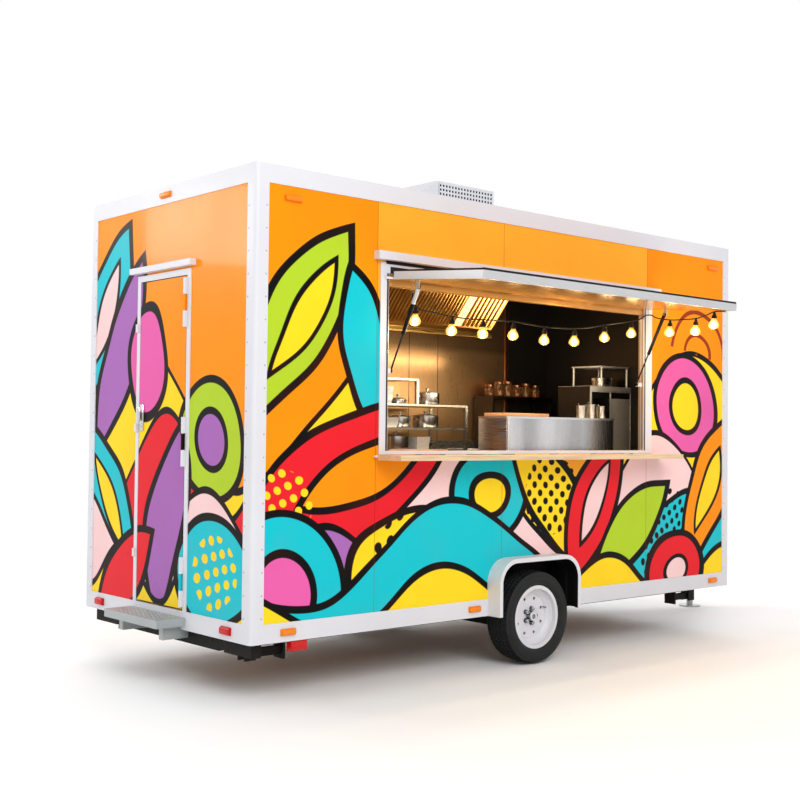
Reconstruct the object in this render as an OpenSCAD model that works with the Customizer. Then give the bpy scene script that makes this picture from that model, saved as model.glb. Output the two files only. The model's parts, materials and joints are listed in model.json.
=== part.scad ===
// Food trailer: a box body on a single axle, with a serving hatch on its right side, a fold-up
// shelf, a rear door, a drawbar with a screw jack and a small kitchen inside.
// X runs forward to the coupler, Y to the left, Z up from the ground. Lengths in millimetres.

/* [Part] */
// Which sub-part to draw

/* [Body] */
// Length of the body over its rails
body_l = 4210; // [3600:10:4800]
// Width of the body over its rails
body_w = 1800; // [1600:10:2200]
// Height of the body from the sill rails to the roof rails
body_h = 2472; // [2200:4:2700]
// Ground to the lower edge of the sill rails
body_z = 320; // [260:5:420]
// Thickness of a wall panel
wall_t = 40; // [25:1:60]
// Rails and posts stand this far outside the panels
proud = 6; // [2:1:12]
// Height of the sill rails
sill_h = 100; // [70:2:130]
// Height of the roof rails
eave_h = 98; // [70:2:130]
// Width of a corner post on each face
post_w = 80; // [60:2:110]
// Rounding of the outer corners
corner_r = 22; // [10:1:40]
// Open seam between neighbouring panels
seam = 0.5; // [0.3:0.1:1]
// Underside of the floor above the sill rails' lower edge
floor_up = 30; // [20:1:40]
// Thickness of the floor
floor_t = 40; // [20:2:60]
// Thickness of the roof panel
roof_t = 60; // [30:2:80]
// Roof panel below the rails' upper edge
roof_drop = 8; // [4:1:20]

/* [Serving opening] */
// Rear edge of the opening from the body's middle
open_x0 = -1207; // [-1400:1:-900]
// Front edge of the opening from the body's middle
open_x1 = 1095; // [900:1:1400]
// Lower edge of the opening above ground
open_z0 = 1308; // [1150:1:1400]
// Upper edge of the opening above ground
open_z1 = 2300; // [2150:1:2400]
// Trim widths around the opening: rear, front, lower, upper
trim_w = [58, 86, 20, 60];
// Drip rail above the opening: rear end, front end, lower edge, upper edge, reach
drip_rail = [-1310, 1233, 2371, 2417, 45];

/* [Hatch] */
// Reach of the hatch from its hinge
hatch_d = 720; // [600:5:900]
// Thickness of the hatch
hatch_t = 45; // [30:1:60]
// The hatch hangs this far below level when open
hatch_droop = 4.5; // [0:0.5:10]
// Hinge line above the opening's upper edge
hatch_hinge_drop = 26; // [5:1:40]
// Play between the hatch's ends and the trim
hatch_play = 10; // [6:1:20]
// Hinge line outside the rails
hinge_off = 14; // [12:1:25]
// Face of a hinged leaf from its hinge line
hinge_face = 8; // [6:1:9]
// Hinge line to the start of a leaf
hinge_lead = 14; // [12:1:25]
// Knuckle radius
knuckle_r = 7; // [5:0.5:9]
// Hinge pin radius
pin_r = 4; // [3:0.5:5]
// Running play of a pin in its knuckle
pin_play = 0.05; // [0.02:0.01:0.1]
// Play between neighbouring knuckles
knuckle_play = 1; // [0.5:0.1:2]
// Length of a knuckle
knuckle_l = 90; // [40:5:150]
// Thickness of a knuckle's leaf
knuckle_leaf = 5; // [3:0.5:6]
// Hinge places along the hatch as shares of its width
hatch_hinge_shares = [0.04, 0.27, 0.5, 0.73, 0.96];

/* [Gas struts] */
// Upper eye from the hinge line, outwards and down from it
strut_eye = [190, 42];
// Lower eye from the hinge line, inwards and down from it
strut_foot = [30, 517];
// Radius of the strut tube
strut_tube_r = 11; // [8:0.5:14]
// Radius of the strut rod
strut_rod_r = 5; // [3:0.5:7]
// Length of the strut tube
strut_tube_l = 290; // [280:2:330]
// Play of the rod in the tube
strut_play = 0.05; // [0.02:0.01:0.1]
// Strut plane inside the opening's end
strut_in = 46; // [40:1:60]
// Thickness of a strut eye
eye_t = 10; // [6:1:14]
// Radius of a strut eye
eye_r = 11; // [8:1:14]
// Radius of a strut pin
strut_pin_r = 5; // [4:0.5:7]
// Play beside an eye
eye_gap = 6; // [5:0.5:10]
// Thickness of a strut lug
lug_t = 6; // [4:1:10]
// Width of a strut lug
lug_w = 26; // [20:1:40]

/* [Shelf] */
// Top of the serving shelf above ground
shelf_z = 1285; // [1100:1:1400]
// Rear and front ends of the shelf
shelf_x = [-1294, 1243];
// Reach of the shelf from its hinge line
shelf_d = 205; // [150:1:260]
// Thickness of the shelf
shelf_t = 28; // [18:1:40]
// Hinge places along the shelf as shares of its length
shelf_hinge_shares = [0.05, 0.35, 0.65, 0.95];

/* [Door] */
// Middle of the door from the body's middle line
door_y = 15; // [-100:1:100]
// Outer width of the door frame
door_w = 583; // [500:1:800]
// Lower edge of the door leaf above ground
door_z0 = 432; // [400:1:460]
// Upper edge of the door leaf above ground
door_z1 = 2262; // [1900:1:2300]
// Width of a frame bar
jamb_w = 35; // [25:1:60]
// Play around the door leaf
door_play = 6; // [5:0.5:10]
// Drip cap above the door: overhang at each end, height, reach
door_cap = [42, 34, 40];
// Gap between the frame and the drip cap
door_cap_gap = 12; // [0:1:30]
// Hinge places along the door as shares of its height
door_hinge_shares = [0.08, 0.5, 0.92];
// Lock plate: width, height, thickness
lock_plate = [44, 150, 8];
// Lock plate's middle above ground
lock_z = 1480; // [1000:5:1600]
// Lock plate from the leaf's free edge
lock_in = 12; // [6:1:40]
// Lock grip: width, height, reach
lock_grip = [16, 92, 26];
// Keepers on the jamb: width, height, reach
keeper = [22, 46, 14];
// Keeper places above ground
keeper_z = [700, 1420, 2000];

/* [Step] */
// Reach of the step behind the body
step_d = 180; // [120:5:260]
// Top of the step above ground
step_z = 388; // [330:1:420]
// Thickness of the step
step_t = 45; // [25:1:60]
// Step arms: width, height and length below the body
step_arm = [40, 50, 260];
// Step arms from the step's ends
step_arm_in = 70; // [40:5:120]

/* [Chassis] */
// Main rail middle inside the body's side
rail_side = 340; // [250:5:450]
// Main rail width and height
rail_sec = [50, 100];
// Cross member width and height
cross_sec = [60, 40];
// Inner cross member places as shares of the body's length
cross_shares = [-0.3, -0.11, 0.13, 0.3];
// Main rail ends inside the body's ends
rail_in = 50; // [50:1:60]
// Cross member ends inside the body's sides
cross_in = 60; // [46:2:120]
// End cross members' distance from the end sill rails
cross_gap = 4; // [2:1:8]
// Rear beam width and height below the main rails
rear_beam = [60, 70];

/* [Drawbar] */
// Coupler's ball middle ahead of the body
coupler_x = 1120; // [900:10:1400]
// Drawbar tube width and height
draw_sec = [50, 60];
// Drawbar tubes start this far behind the body's front
draw_back = 620; // [400:10:900]
// Drawbar tubes end this far from the middle line
draw_nose = 30; // [26:1:60]
// Drawbar tubes end this far behind the ball's middle
draw_end = 90; // [60:5:200]
// Coupler plate: length, width, thickness
coupler_plate = [190, 110, 8];
// Coupler body: length, width, height
coupler_body = [230, 62, 60];
// Coupler head radius
coupler_head_r = 42; // [36:1:50]
// Ball socket radius
socket_r = 25.3; // [23:0.1:26]
// Ball socket depth
socket_depth = 38; // [30:1:45]
// Coupler lever: length, width, thickness
coupler_lever = [120, 26, 8];

/* [Jack] */
// Jack's middle behind the ball's middle
jack_back = 330; // [250:5:500]
// Jack outer tube radius
jack_r = 30; // [24:1:40]
// Jack outer tube wall
jack_wall = 5; // [3:0.5:8]
// Jack outer tube lower and upper ends above ground
jack_z = [250, 790];
// Travel of the jack leg
jack_travel = 230; // [150:5:232]
// Jack foot radius and thickness
jack_foot = [85, 10];
// Jack plate: length, width, thickness
jack_plate = [150, 190, 10];
// Jack head: radius and height
jack_head = [38, 60];
// Jack crank: arm length, radius, grip length
jack_crank = [190, 8, 90];
// Jack leg top below the outer tube's closed end when raised
jack_top_play = 20; // [10:2:60]

/* [Running gear] */
// Axle behind (less) or ahead (more) of the body's middle
axle_x = -30; // [-400:5:200]
// Tyre radius
tyre_r = 288; // [260:1:340]
// Tyre width
tyre_w = 185; // [150:1:225]
// Tyre middle inside the body's side
tyre_side = 16; // [0:1:60]
// Rim flange radius
rim_r = 193; // [160:1:220]
// Rim seat radius inside the flange
seat_r = 178; // [150:1:200]
// Rim thickness
rim_t = 6; // [4:0.5:9]
// Rim width over its flanges
rim_w = 152; // [120:1:180]
// Disc face inside the rim's outer edge
disc_in = 62; // [30:1:80]
// Disc thickness
disc_t = 8; // [5:0.5:12]
// Hand holes: pitch radius, hole radius
hand_hole = [112, 10];
// Number of hand holes
hand_holes = 8; // [4:1:12]
// Hub radius and length
hub_sec = [58, 70];
// Hub cap radius and length
hub_cap = [27, 38];
// Lug nuts: pitch radius, nut radius, length
lug = [57, 11, 24];
// Number of lug nuts
lugs = 5; // [4:1:8]
// Spindle radius
spindle_r = 17; // [14:0.5:22]
// Spindle play in the hub
spindle_play = 0.05; // [0.02:0.01:0.1]
// Axle tube size
axle_sec = 60; // [50:1:90]
// Axle tube middle above ground
axle_z = 200; // [150:5:260]
// Axle tube middle ahead of the wheel middle
axle_lead = 118; // [80:2:160]
// Axle tube ends inside the tyre's middle
axle_stop = 224; // [180:2:260]
// Axle arm: width across, thickness along Y
axle_arm = [56, 26];
// Boss radius at the spindle
axle_boss_r = 36; // [32:1:45]
// Gap between the axle arm and the wheel
arm_gap = 12; // [8:1:30]
// Axle saddle: length, height
axle_saddle = [110, 20];

/* [Fenders] */
// Half length of a fender
fender_half = 366; // [330:2:450]
// Reach of a fender outside the rails
fender_d = 100; // [80:2:140]
// Top of a fender above ground
fender_z = 660; // [600:2:720]
// Corner rounding of a fender
fender_r = 150; // [100:5:220]
// Width of a fender's lip
fender_lip = 26; // [14:1:40]
// Wall thickness of a wheel tub
tub_t = 4; // [2:0.5:8]
// Inner face of a wheel tub inside the body's side
tub_side = 165; // [130:5:250]

/* [Lamps] */
// Side lamp: length, height, thickness
side_lamp = [112, 34, 22];
// Side marker near the sill: length, height, thickness
sill_lamp = [96, 36, 20];
// Side lamps' middles from the body's rear and front ends
side_lamp_in = [235, 220];
// Side lamps' middle below the roof rails' upper edge
side_lamp_drop = 162; // [120:2:260]
// Sill markers' middles from the body's rear and front ends
sill_lamp_in = [235, 205];
// Middle sill marker ahead of the axle
sill_lamp_mid = -482; // [-560:2:-440]
// Rear lamp: width, height, thickness
rear_lamp = [96, 44, 20];
// Rear lamps' middles from the body's right and left sides
rear_lamp_in = [220, 200];
// Rear roof lamp width, height, thickness
roof_lamp = [110, 36, 20];
// Under-sill lamp: length, width, height
under_lamp = [110, 44, 60];
// Under-sill lamp's middle from the body's rear end and right side
under_lamp_at = [315, 24];

/* [Roof vent] */
// Vent body: rear end, front end, half width, height
vent_box = [-225, 300, 230, 280];
// Length of the rear slope
vent_slope = 420; // [200:10:600]
// Front wall of the vent
vent_t = 12; // [6:1:20]
// Lower edge of the grille above the roof
vent_row0 = 96; // [40:2:140]
// Vent grid: pockets along and up
vent_grid = [18, 5];
// Bar between two pockets of the vent
vent_rib = 9; // [5:0.5:14]

/* [String lights] */
// Cord radius
cord_r = 4; // [2:0.5:6]
// Bulb radius
bulb_r = 33; // [20:1:40]
// Socket radius and length
socket_sec = [17, 40];
// Cord points on the hatch: along X, outwards from the hinge, below the hatch
cord_points = [[-1122, 92, 62], [-1067, 70, 139], [-923, 68, 164], [-779, 68, 177],
    [-652, 69, 181], [-526, 70, 178], [-398, 71, 175], [-270, 72, 172], [-131, 73, 180],
    [8, 74, 186], [149, 74, 185], [290, 74, 178], [438, 73, 160], [587, 72, 135], [727, 70, 113],
    [866, 68, 91], [960, 67, 68], [1030, 72, 38], [1016, 150, 56], [998, 279, 70], [996, 380, 66],
    [996, 483, 57], [996, 556, 36], [996, 620, 12], [996, 700, 8]];
// Bulb places as counts along the cord
bulb_at = [1, 3, 5, 7, 9, 11, 13, 15, 19, 21, 23];
// Hook places as counts along the cord
hook_at = [0, 17, 24];
// Hook radius
hook_r = 5; // [3:0.5:8]

/* [Kitchen] */
// Worktop along the left wall: ends inside the body's ends, depth, top above the floor
worktop = [155, 554, 872];
// Worktop thickness
worktop_t = 40; // [25:1:60]
// Worktop leg width
leg_w = 40; // [30:1:60]
// Worktop legs as shares of its length
leg_shares = [0, 0.27, 0.72, 1];
// Shelf under the worktop: height above the floor, thickness
low_shelf = [240, 18];
// Thickness of folded sheet metal
sheet_t = 6; // [2:0.5:12]
// Splash rim height above the worktop
splash_h = 90; // [40:5:150]
// Steel unit behind the opening: rear and front ends
unit_x = [14, 1133];
// Steel unit inside the right side, its depth, its top above the floor
unit_sec = [240, 266, 1134];
// Wall of a steel box
unit_t = 20; // [10:1:40]
// Hood: rear and front ends
hood_x = [-1400, 1300];
// Hood: lip from the left wall, lower edge below the roof panel, reach from that wall at the roof
hood_sec = [86, 552, 501];
// Hood lip height
hood_lip = 64; // [40:2:120]
// Rack: rear and front ends
rack_x = [-209, 601];
// Rack front from the left wall, its depth
rack_sec = [545, 400];
// Rack shelves above the worktop
rack_z = [171, 336];
// Upper tier of the rack: front end, height above the worktop
rack_tier = [121, 514];
// Rack plate thickness
rack_t = 14; // [8:1:25]
// Rack leg width
rack_leg = 22; // [15:1:40]
// Cabinet: front end behind the body's front, length
cabinet_run = [54, 487];
// Cabinet front from the left wall, its depth, its height above the floor
cabinet_sec = [886, 320, 1392];
// Jar shelf: front end behind the body's front, length
jar_run = [221, 693];
// Jar shelf front from the left wall, its depth, its top above the worktop, its thickness
jar_sec = [222, 200, 443, 18];
// Jar shelf foot width
jar_foot = 16; // [10:1:30]
// Pots on the upper rack: along, from the left wall, radius, height
pots_high = [[343, 387, 92, 100], [60, 387, 60, 50]];
// Pots on the lower rack: along, from the left wall, radius, height
pots_low = [[326, 387, 98, 100], [80, 387, 80, 90]];
// Pots on the worktop: along, from the left wall, radius, height
pots_top = [[11, 420, 110, 138], [250, 430, 80, 90]];
// Pot on the cabinet: from its rear end, from the left wall, radius, height
cabinet_pot = [330, 726, 95, 85];
// Jars: from the shelf's rear end, from the left wall, radius, height
jars = [[60, 122, 38, 80], [165, 122, 40, 105], [262, 122, 42, 110], [372, 122, 36, 85],
    [478, 122, 40, 100], [590, 122, 38, 90]];
// Cups on the unit: along, from its outer face, radius, height
cups = [[858, 110, 40, 80], [972, 120, 44, 92], [1066, 105, 38, 80]];
// Board on the unit: rear and front ends
board_x = [25, 440];
// Board from the unit's outer face, its depth, its thickness
board_sec = [30, 200, 22];
// Lid of a pot: overhang, thickness
lid = [4, 8];
// Knob of a lid: radius, height
knob = [12, 22];

/* [Steadies] */
// Steady pivot from the body's ends and from its sides
steady_at = [150, 250];
// Steady pivot above ground
steady_z = 232; // [200:2:260]
// Length of a steady from its pivot
steady_l = 205; // [160:5:215]
// Steady arm section
steady_sec = [44, 36];
// Steady foot: length, width, thickness
steady_foot = [14, 90, 90];
// Steady cheek thickness and play beside the arm
steady_cheek = [10, 6];
// Steady cheek width
steady_cheek_w = 70; // [50:2:100]
// Steady pin radius
steady_pin_r = 8; // [6:0.5:12]

/* [Hidden] */
$fn = 48;
// Cuts run past the faces that they open
over = 1;
// Fine and coarse roundness
fine_n = 72;
small_n = 20;
tiny_n = 16;
cord_n = 6;
half = 0.5;
right_turn = 90;
full_turn = 360;
xr = -body_l / 2;
xf = body_l / 2;
yr = -body_w / 2;
yl = body_w / 2;
zt = body_z + body_h;
roof_z = zt - roof_drop - roof_t;
z_sill = body_z + sill_h;
rail_y = body_w / 2 - rail_side;
tyre_y = body_w / 2 - tyre_side;
axle_half = tyre_y - axle_stop;
tub_y = body_w / 2 - tub_side;
cabinet_x = [xf - cabinet_run[0] - cabinet_run[1], xf - cabinet_run[0]];
jar_x = [xf - jar_run[0] - jar_run[1], xf - jar_run[0]];
z_eave = zt - eave_h;
depth = wall_t + proud;
floor_z = body_z + floor_up;
floor_top = floor_z + floor_t;
inner_y = yl - depth;
work_x = [xr + worktop[0], xf - worktop[0]];
work_y = inner_y - worktop[1];
work_z = floor_top + worktop[2];
leg_y = [work_y + leg_w, tub_y - tub_t - leg_w * 2];
unit_y = yr + unit_sec[0];
unit_z = floor_top + unit_sec[2];
cross_end = xf - depth - cross_gap - cross_sec[0] / 2;
hatch_x = [open_x0 + hatch_play, open_x1 - hatch_play];
hatch_w = hatch_x[1] - hatch_x[0];
hinge_y = yr - hinge_off;
hatch_z = open_z1 - hatch_hinge_drop;
shelf_pivot_z = shelf_z - hinge_face;
door_in = [door_y - door_w / 2 + jamb_w, door_y + door_w / 2 - jamb_w];
leaf_y = [door_in[0] + door_play, door_in[1] - door_play];
door_hinge_x = xr - hinge_off;
frame_z1 = door_z1 + door_play + jamb_w;
trim_out = [open_x0 - trim_w[0], open_x1 + trim_w[1], open_z0 - trim_w[2], open_z1 + trim_w[3]];
arch = [axle_x - fender_half + fender_lip, axle_x + fender_half - fender_lip];
ball_x = xf + coupler_x;
rail_z = floor_z - rail_sec[1];
draw_z = rail_z;
draw_top = draw_z + draw_sec[1];
jack_x = ball_x - jack_back;
x_min = xr - step_d;
x_max = ball_x + coupler_head_r;
y_min = hinge_y - hatch_d * cos(hatch_droop) - (hatch_t - hinge_face) * sin(hatch_droop);
y_max = yl + fender_d;
shift = [-(x_min + x_max) / 2, -(y_min + y_max) / 2, 0];

white = [0.92, 0.92, 0.93];
black = [0.06, 0.06, 0.07];
steel = [0.7, 0.71, 0.72];
orange = [0.98, 0.6, 0.12];
grey = [0.62, 0.63, 0.65];
amber = [1, 0.5, 0.05];
red = [0.6, 0.05, 0.05];
wood = [0.85, 0.72, 0.52];
warm = [1, 0.85, 0.55];
rubber = [0.08, 0.08, 0.09];

module place() translate(shift) children();

// A block between two corners, given as [x0, x1, y0, y1, z0, z1]
module block(b)
    translate([b[0], b[2], b[4]]) cube([b[1] - b[0], b[3] - b[2], b[5] - b[4]]);

// A block laid between two points of a level, along X and Y
module level_bar(p, q, w, z0, h) {
    run = [q[0] - p[0], q[1] - p[1]];
    translate([p[0], p[1], z0]) rotate([0, 0, atan2(run[1], run[0])])
        translate([0, -w / 2, 0]) cube([norm(run), w, h]);
}

// A round bar between two points
module rod(p, q, r, n = small_n) {
    d = q - p;
    l = norm(d);
    translate(p) rotate([0, acos(d[2] / l), atan2(d[1], d[0])]) cylinder(r = r, h = l, $fn = n);
}

// A round bar along X, Y or Z
module bar_x(x0, x1, y, z, r, n = small_n)
    translate([x0, y, z]) rotate([0, right_turn, 0]) cylinder(r = r, h = x1 - x0, $fn = n);
module bar_y(x, y0, y1, z, r, n = small_n)
    translate([x, y0, z]) rotate([-right_turn, 0, 0]) cylinder(r = r, h = y1 - y0, $fn = n);

module mirror_left() mirror([0, 1, 0]) children();

// Running gear
module chassis_frame() color(black) place() for (s = [-1, 1]) {
    block([xr + rail_in, xf - rail_in, s * rail_y - rail_sec[0] / 2,
        s * rail_y + rail_sec[0] / 2, rail_z, floor_z]);
    for (e = [-1, 1]) steady_bracket(e, s);
}

// A beam across the chassis, in three lengths between and outside the main rails
module cross_beam(x, w, z0, z1) {
    inner = rail_y - rail_sec[0] / 2;
    outer = rail_y + rail_sec[0] / 2;
    for (y = [[yr + cross_in, -outer], [-inner, inner], [outer, yl - cross_in]])
        block([x - w / 2, x + w / 2, y[0], y[1], z0, z1]);
}
module cross_members() color(black) place() {
    z = floor_z - cross_sec[1];
    for (c = cross_shares) cross_beam(c * body_l, cross_sec[0], z, floor_z);
    for (e = [-1, 1]) cross_beam(e * cross_end, cross_sec[0], z, floor_z);
    cross_beam(-cross_end, rear_beam[0], z - rear_beam[1], z + over);
}

module steady_bracket(e, s) {
    px = e * (body_l / 2 - steady_at[0]);
    py = s * (body_w / 2 - steady_at[1]);
    inner = steady_sec[1] / 2 + steady_cheek[1];
    for (k = [-1, 1])
        block([px - steady_cheek_w / 2, px + steady_cheek_w / 2,
            py + k * (inner + steady_cheek[0] / 2) - steady_cheek[0] / 2,
            py + k * (inner + steady_cheek[0] / 2) + steady_cheek[0] / 2,
            steady_z - steady_cheek_w / 2, floor_z]);
    block([px - steady_cheek_w / 2, px + steady_cheek_w / 2, py - inner - steady_cheek[0],
        py + inner + steady_cheek[0], floor_z - steady_cheek[0], floor_z]);
    bar_y(px, py - inner - over, py + inner + over, steady_z, steady_pin_r);
    block([px - steady_cheek_w / 2, px + steady_cheek_w / 2,
        min(s * rail_y, py), max(s * rail_y, py), floor_z - cross_sec[1], floor_z]);
}

module steady(e, s) color(black) place() {
    px = e * (body_l / 2 - steady_at[0]);
    py = s * (body_w / 2 - steady_at[1]);
    far = px - e * steady_l;
    difference() {
        union() {
            block([min(px, far), max(px, far), py - steady_sec[1] / 2, py + steady_sec[1] / 2,
                steady_z - steady_sec[0] / 2, steady_z + steady_sec[0] / 2]);
            bar_y(px, py - steady_sec[1] / 2, py + steady_sec[1] / 2, steady_z,
                steady_sec[0] / 2, fine_n / 2);
        }
        bar_y(px, py - steady_sec[1], py + steady_sec[1], steady_z, steady_pin_r + pin_play);
    }
    block([min(far, far - e * steady_foot[0]), max(far, far - e * steady_foot[0]),
        py - steady_foot[1] / 2, py + steady_foot[1] / 2,
        steady_z - steady_foot[2] / 2, steady_z + steady_foot[2] / 2]);
}
module steady_rr() steady(-1, -1);
module steady_rl() steady(-1, 1);
module steady_fr() steady(1, -1);
module steady_fl() steady(1, 1);

module drawbar() color(black) place() {
    for (s = [-1, 1])
        level_bar([xf - draw_back, s * (rail_y - rail_sec[0] - draw_sec[0] / 2)],
            [ball_x - draw_end, s * draw_nose], draw_sec[0], draw_z,
            draw_sec[1] - (floor_z - cross_sec[1] < draw_top ? draw_top - floor_z + cross_sec[1] : 0));
    difference() {
        block([jack_x - jack_plate[0] / 2, jack_x + jack_plate[0] / 2, -jack_plate[1] / 2,
            jack_plate[1] / 2, draw_z + draw_sec[1] - over, draw_z + draw_sec[1] + jack_plate[2]]);
        translate([jack_x, 0, draw_z]) cylinder(r = jack_r + seam, h = draw_sec[1] * 2);
    }
    block([ball_x - draw_end - coupler_plate[0], ball_x - draw_end, -coupler_plate[1] / 2,
        coupler_plate[1] / 2, draw_top - over, draw_top + coupler_plate[2]]);
}

module coupler() color(steel) place() {
    z0 = draw_top + coupler_plate[2];
    difference() {
        union() {
            block([ball_x - coupler_body[0], ball_x, -coupler_body[1] / 2, coupler_body[1] / 2,
                z0, z0 + coupler_body[2]]);
            translate([ball_x, 0, z0]) cylinder(r = coupler_head_r, h = coupler_body[2]);
        }
        translate([ball_x, 0, z0 - over]) cylinder(r = socket_r, h = socket_depth + over,
            $fn = fine_n);
    }
    translate([ball_x - coupler_body[0], -coupler_lever[1] / 2, z0 + coupler_body[2]])
        cube([coupler_lever[0], coupler_lever[1], coupler_lever[2]]);
}

module jack_tube() color(black) place() {
    difference() {
        translate([jack_x, 0, jack_z[0]]) cylinder(r = jack_r, h = jack_z[1] - jack_z[0]);
        translate([jack_x, 0, jack_z[0] - over])
            cylinder(r = jack_r - jack_wall, h = jack_z[1] - jack_z[0], $fn = fine_n);
    }
    translate([jack_x, 0, jack_z[1]]) cylinder(r = jack_head[0], h = jack_head[1]);
    bar_y(jack_x, 0, jack_head[0] + jack_crank[2] / 2, jack_z[1] + jack_head[1] / 2,
        jack_crank[1]);
    translate([jack_x - jack_crank[0], jack_head[0] + jack_crank[2] / 2 - jack_crank[1],
        jack_z[1] + jack_head[1] / 2 - jack_crank[1]])
        cube([jack_crank[0] + jack_crank[1], jack_crank[1] * 2, jack_crank[1] * 2]);
    bar_y(jack_x - jack_crank[0] + jack_crank[1], jack_head[0] + jack_crank[2] / 2,
        jack_head[0] + jack_crank[2] * 3 / 2, jack_z[1] + jack_head[1] / 2, jack_crank[1]);
}

module jack_leg() color(steel) place() {
    translate([jack_x, 0, 0]) cylinder(r = jack_foot[0], h = jack_foot[1]);
    translate([jack_x, 0, jack_foot[1]])
        cylinder(r = jack_r - jack_wall - pin_play, $fn = fine_n,
            h = jack_z[1] - over - jack_top_play - jack_travel - jack_foot[1]);
}

// The axle: a square tube with a trailing arm and a spindle at each end
module axle_beam() color(black) place() {
    ax = axle_x + axle_lead;
    y_arm = tyre_y - rim_w / 2 - arm_gap - axle_arm[1];
    y_mid = y_arm + axle_arm[1] / 2;
    reach = tyre_y + rim_w / 2 - disc_in - disc_t;
    block([ax - axle_sec / 2, ax + axle_sec / 2, -axle_half, axle_half, axle_z - axle_sec / 2,
        axle_z + axle_sec / 2]);
    for (m = [0, 1]) mirror([0, m, 0]) {
        block([ax - axle_saddle[0] / 2, ax + axle_saddle[0] / 2, rail_y - rail_sec[0] / 2,
            rail_y + rail_sec[0] / 2, axle_z + axle_sec / 2 - over, rail_z]);
        translate([0, y_arm + axle_arm[1], 0]) rotate([right_turn, 0, 0])
            linear_extrude(height = axle_arm[1]) {
                translate([ax, axle_z]) circle(r = axle_boss_r);
                translate([axle_x, tyre_r]) circle(r = axle_boss_r);
                translate([ax, axle_z]) rotate(right_turn * 2 - atan2(tyre_r - axle_z, axle_lead))
                    translate([0, -axle_arm[0] / 2])
                        square([norm([axle_lead, tyre_r - axle_z]), axle_arm[0]]);
            }
        bar_y(ax, axle_half - axle_sec / 2, y_mid, axle_z, axle_sec / 2 - over * 3, fine_n / 2);
        bar_y(axle_x, y_mid, reach, tyre_r, spindle_r, fine_n);
    }
}

// A wheel about Y, its outer side towards +Y, its middle at the origin
module rim_shape() {
    w = rim_w / 2;
    face = w - disc_in;
    difference() {
        union() {
            rotate([-right_turn, 0, 0]) rotate_extrude($fn = fine_n) rim_profile();
            translate([0, face - disc_t, 0]) rotate([-right_turn, 0, 0])
                cylinder(r = seat_r - rim_t / 2, h = disc_t, $fn = fine_n);
            translate([0, face - hub_sec[1], 0]) rotate([-right_turn, 0, 0])
                cylinder(r = hub_sec[0], h = hub_sec[1]);
            translate([0, face - over, 0]) rotate([-right_turn, 0, 0])
                cylinder(r = hub_cap[0], h = hub_cap[1] + over);
            for (i = [0 : lugs - 1]) rotate([0, i * full_turn / lugs, 0])
                translate([lug[0] * hub_share, face - over, 0]) rotate([-right_turn, 0, 0])
                    cylinder(r = lug[1], h = lug[2] + over, $fn = 6);
        }
        for (i = [0 : hand_holes - 1]) rotate([0, (i + half) * full_turn / hand_holes, 0])
            translate([hand_hole[0], face - disc_t - over, 0]) rotate([-right_turn, 0, 0])
                cylinder(r = hand_hole[1], h = disc_t + over * 2, $fn = tiny_n);
        translate([0, face - hub_sec[1] - over, 0]) rotate([-right_turn, 0, 0])
            cylinder(r = spindle_r + spindle_play, h = hub_sec[1] - disc_t + over * 2, $fn = fine_n);
    }
}
hub_share = 0.8;
module rim_profile() {
    w = rim_w / 2;
    translate([seat_r - rim_t, -w]) square([rim_t, rim_w]);
    for (k = [-1, 1]) translate([seat_r - rim_t, k > 0 ? w - rim_t : -w])
        square([rim_r - seat_r + rim_t, rim_t]);
}
module rim_right() color(white) place()
    translate([axle_x, -tyre_y, tyre_r]) mirror_left() rim_shape();
module rim_left() color(white) place() translate([axle_x, tyre_y, tyre_r]) rim_shape();

module tyre_shape() rotate([-right_turn, 0, 0]) rotate_extrude($fn = fine_n) tyre_profile();
tread_share = 0.8;
shoulder_share = 0.86;
bulge_share = 0.55;
module tyre_profile() {
    r0 = seat_r + seam;
    span = tyre_r - r0;
    bead = rim_w / 2 - rim_t - seam;
    polygon([[r0, -bead], [rim_r + seam, -bead], [r0 + span * bulge_share, -tyre_w / 2],
        [r0 + span * shoulder_share, -tyre_w / 2 * (1 + tread_share) / 2],
        [tyre_r, -tyre_w / 2 * tread_share], [tyre_r, tyre_w / 2 * tread_share],
        [r0 + span * shoulder_share, tyre_w / 2 * (1 + tread_share) / 2],
        [r0 + span * bulge_share, tyre_w / 2], [rim_r + seam, bead], [r0, bead]]);
}
module tyre_left() color(rubber) place() translate([axle_x, tyre_y, tyre_r]) tyre_shape();
module tyre_right() color(rubber) place() translate([axle_x, -tyre_y, tyre_r]) tyre_shape();

// A fender: an arch with rounded upper corners, outside the wall
module arch_2d(grow) {
    h = fender_half + grow;
    r = fender_r + grow;
    translate([-h, body_z]) square([h * 2, fender_z + grow - r - body_z]);
    translate([-h + r, body_z]) square([(h - r) * 2, fender_z + grow - body_z]);
    for (s = [-1, 1]) translate([s * (h - r), fender_z + grow - r]) circle(r = r, $fn = fine_n);
}
module fender_shape()
    translate([axle_x, yl + fender_d, 0]) rotate([right_turn, 0, 0]) {
        linear_extrude(height = fender_lip) difference() {
            arch_2d(0);
            arch_2d(-fender_lip);
            translate([-fender_half, body_z - over]) square([fender_half * 2, over]);
        }
        linear_extrude(height = fender_d + proud) difference() {
            arch_2d(0);
            arch_2d(-tub_t);
        }
    }
module fender_left() color(white) place() fender_shape();
module fender_right() color(white) place() mirror_left() fender_shape();

module wheel_tubs() color(black) place() for (m = [0, 1]) mirror([0, m, 0]) {
    y1 = yl - depth;
    block([arch[0] - tub_t, arch[1] + tub_t, tub_y - tub_t, y1, fender_z - fender_lip,
        fender_z - fender_lip + tub_t]);
    block([arch[0] - tub_t, arch[1] + tub_t, tub_y - tub_t, tub_y, floor_z,
        fender_z - fender_lip]);
    for (x = [arch[0] - tub_t, arch[1]])
        block([x, x + tub_t, tub_y, y1, floor_z, fender_z - fender_lip]);
}

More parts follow.
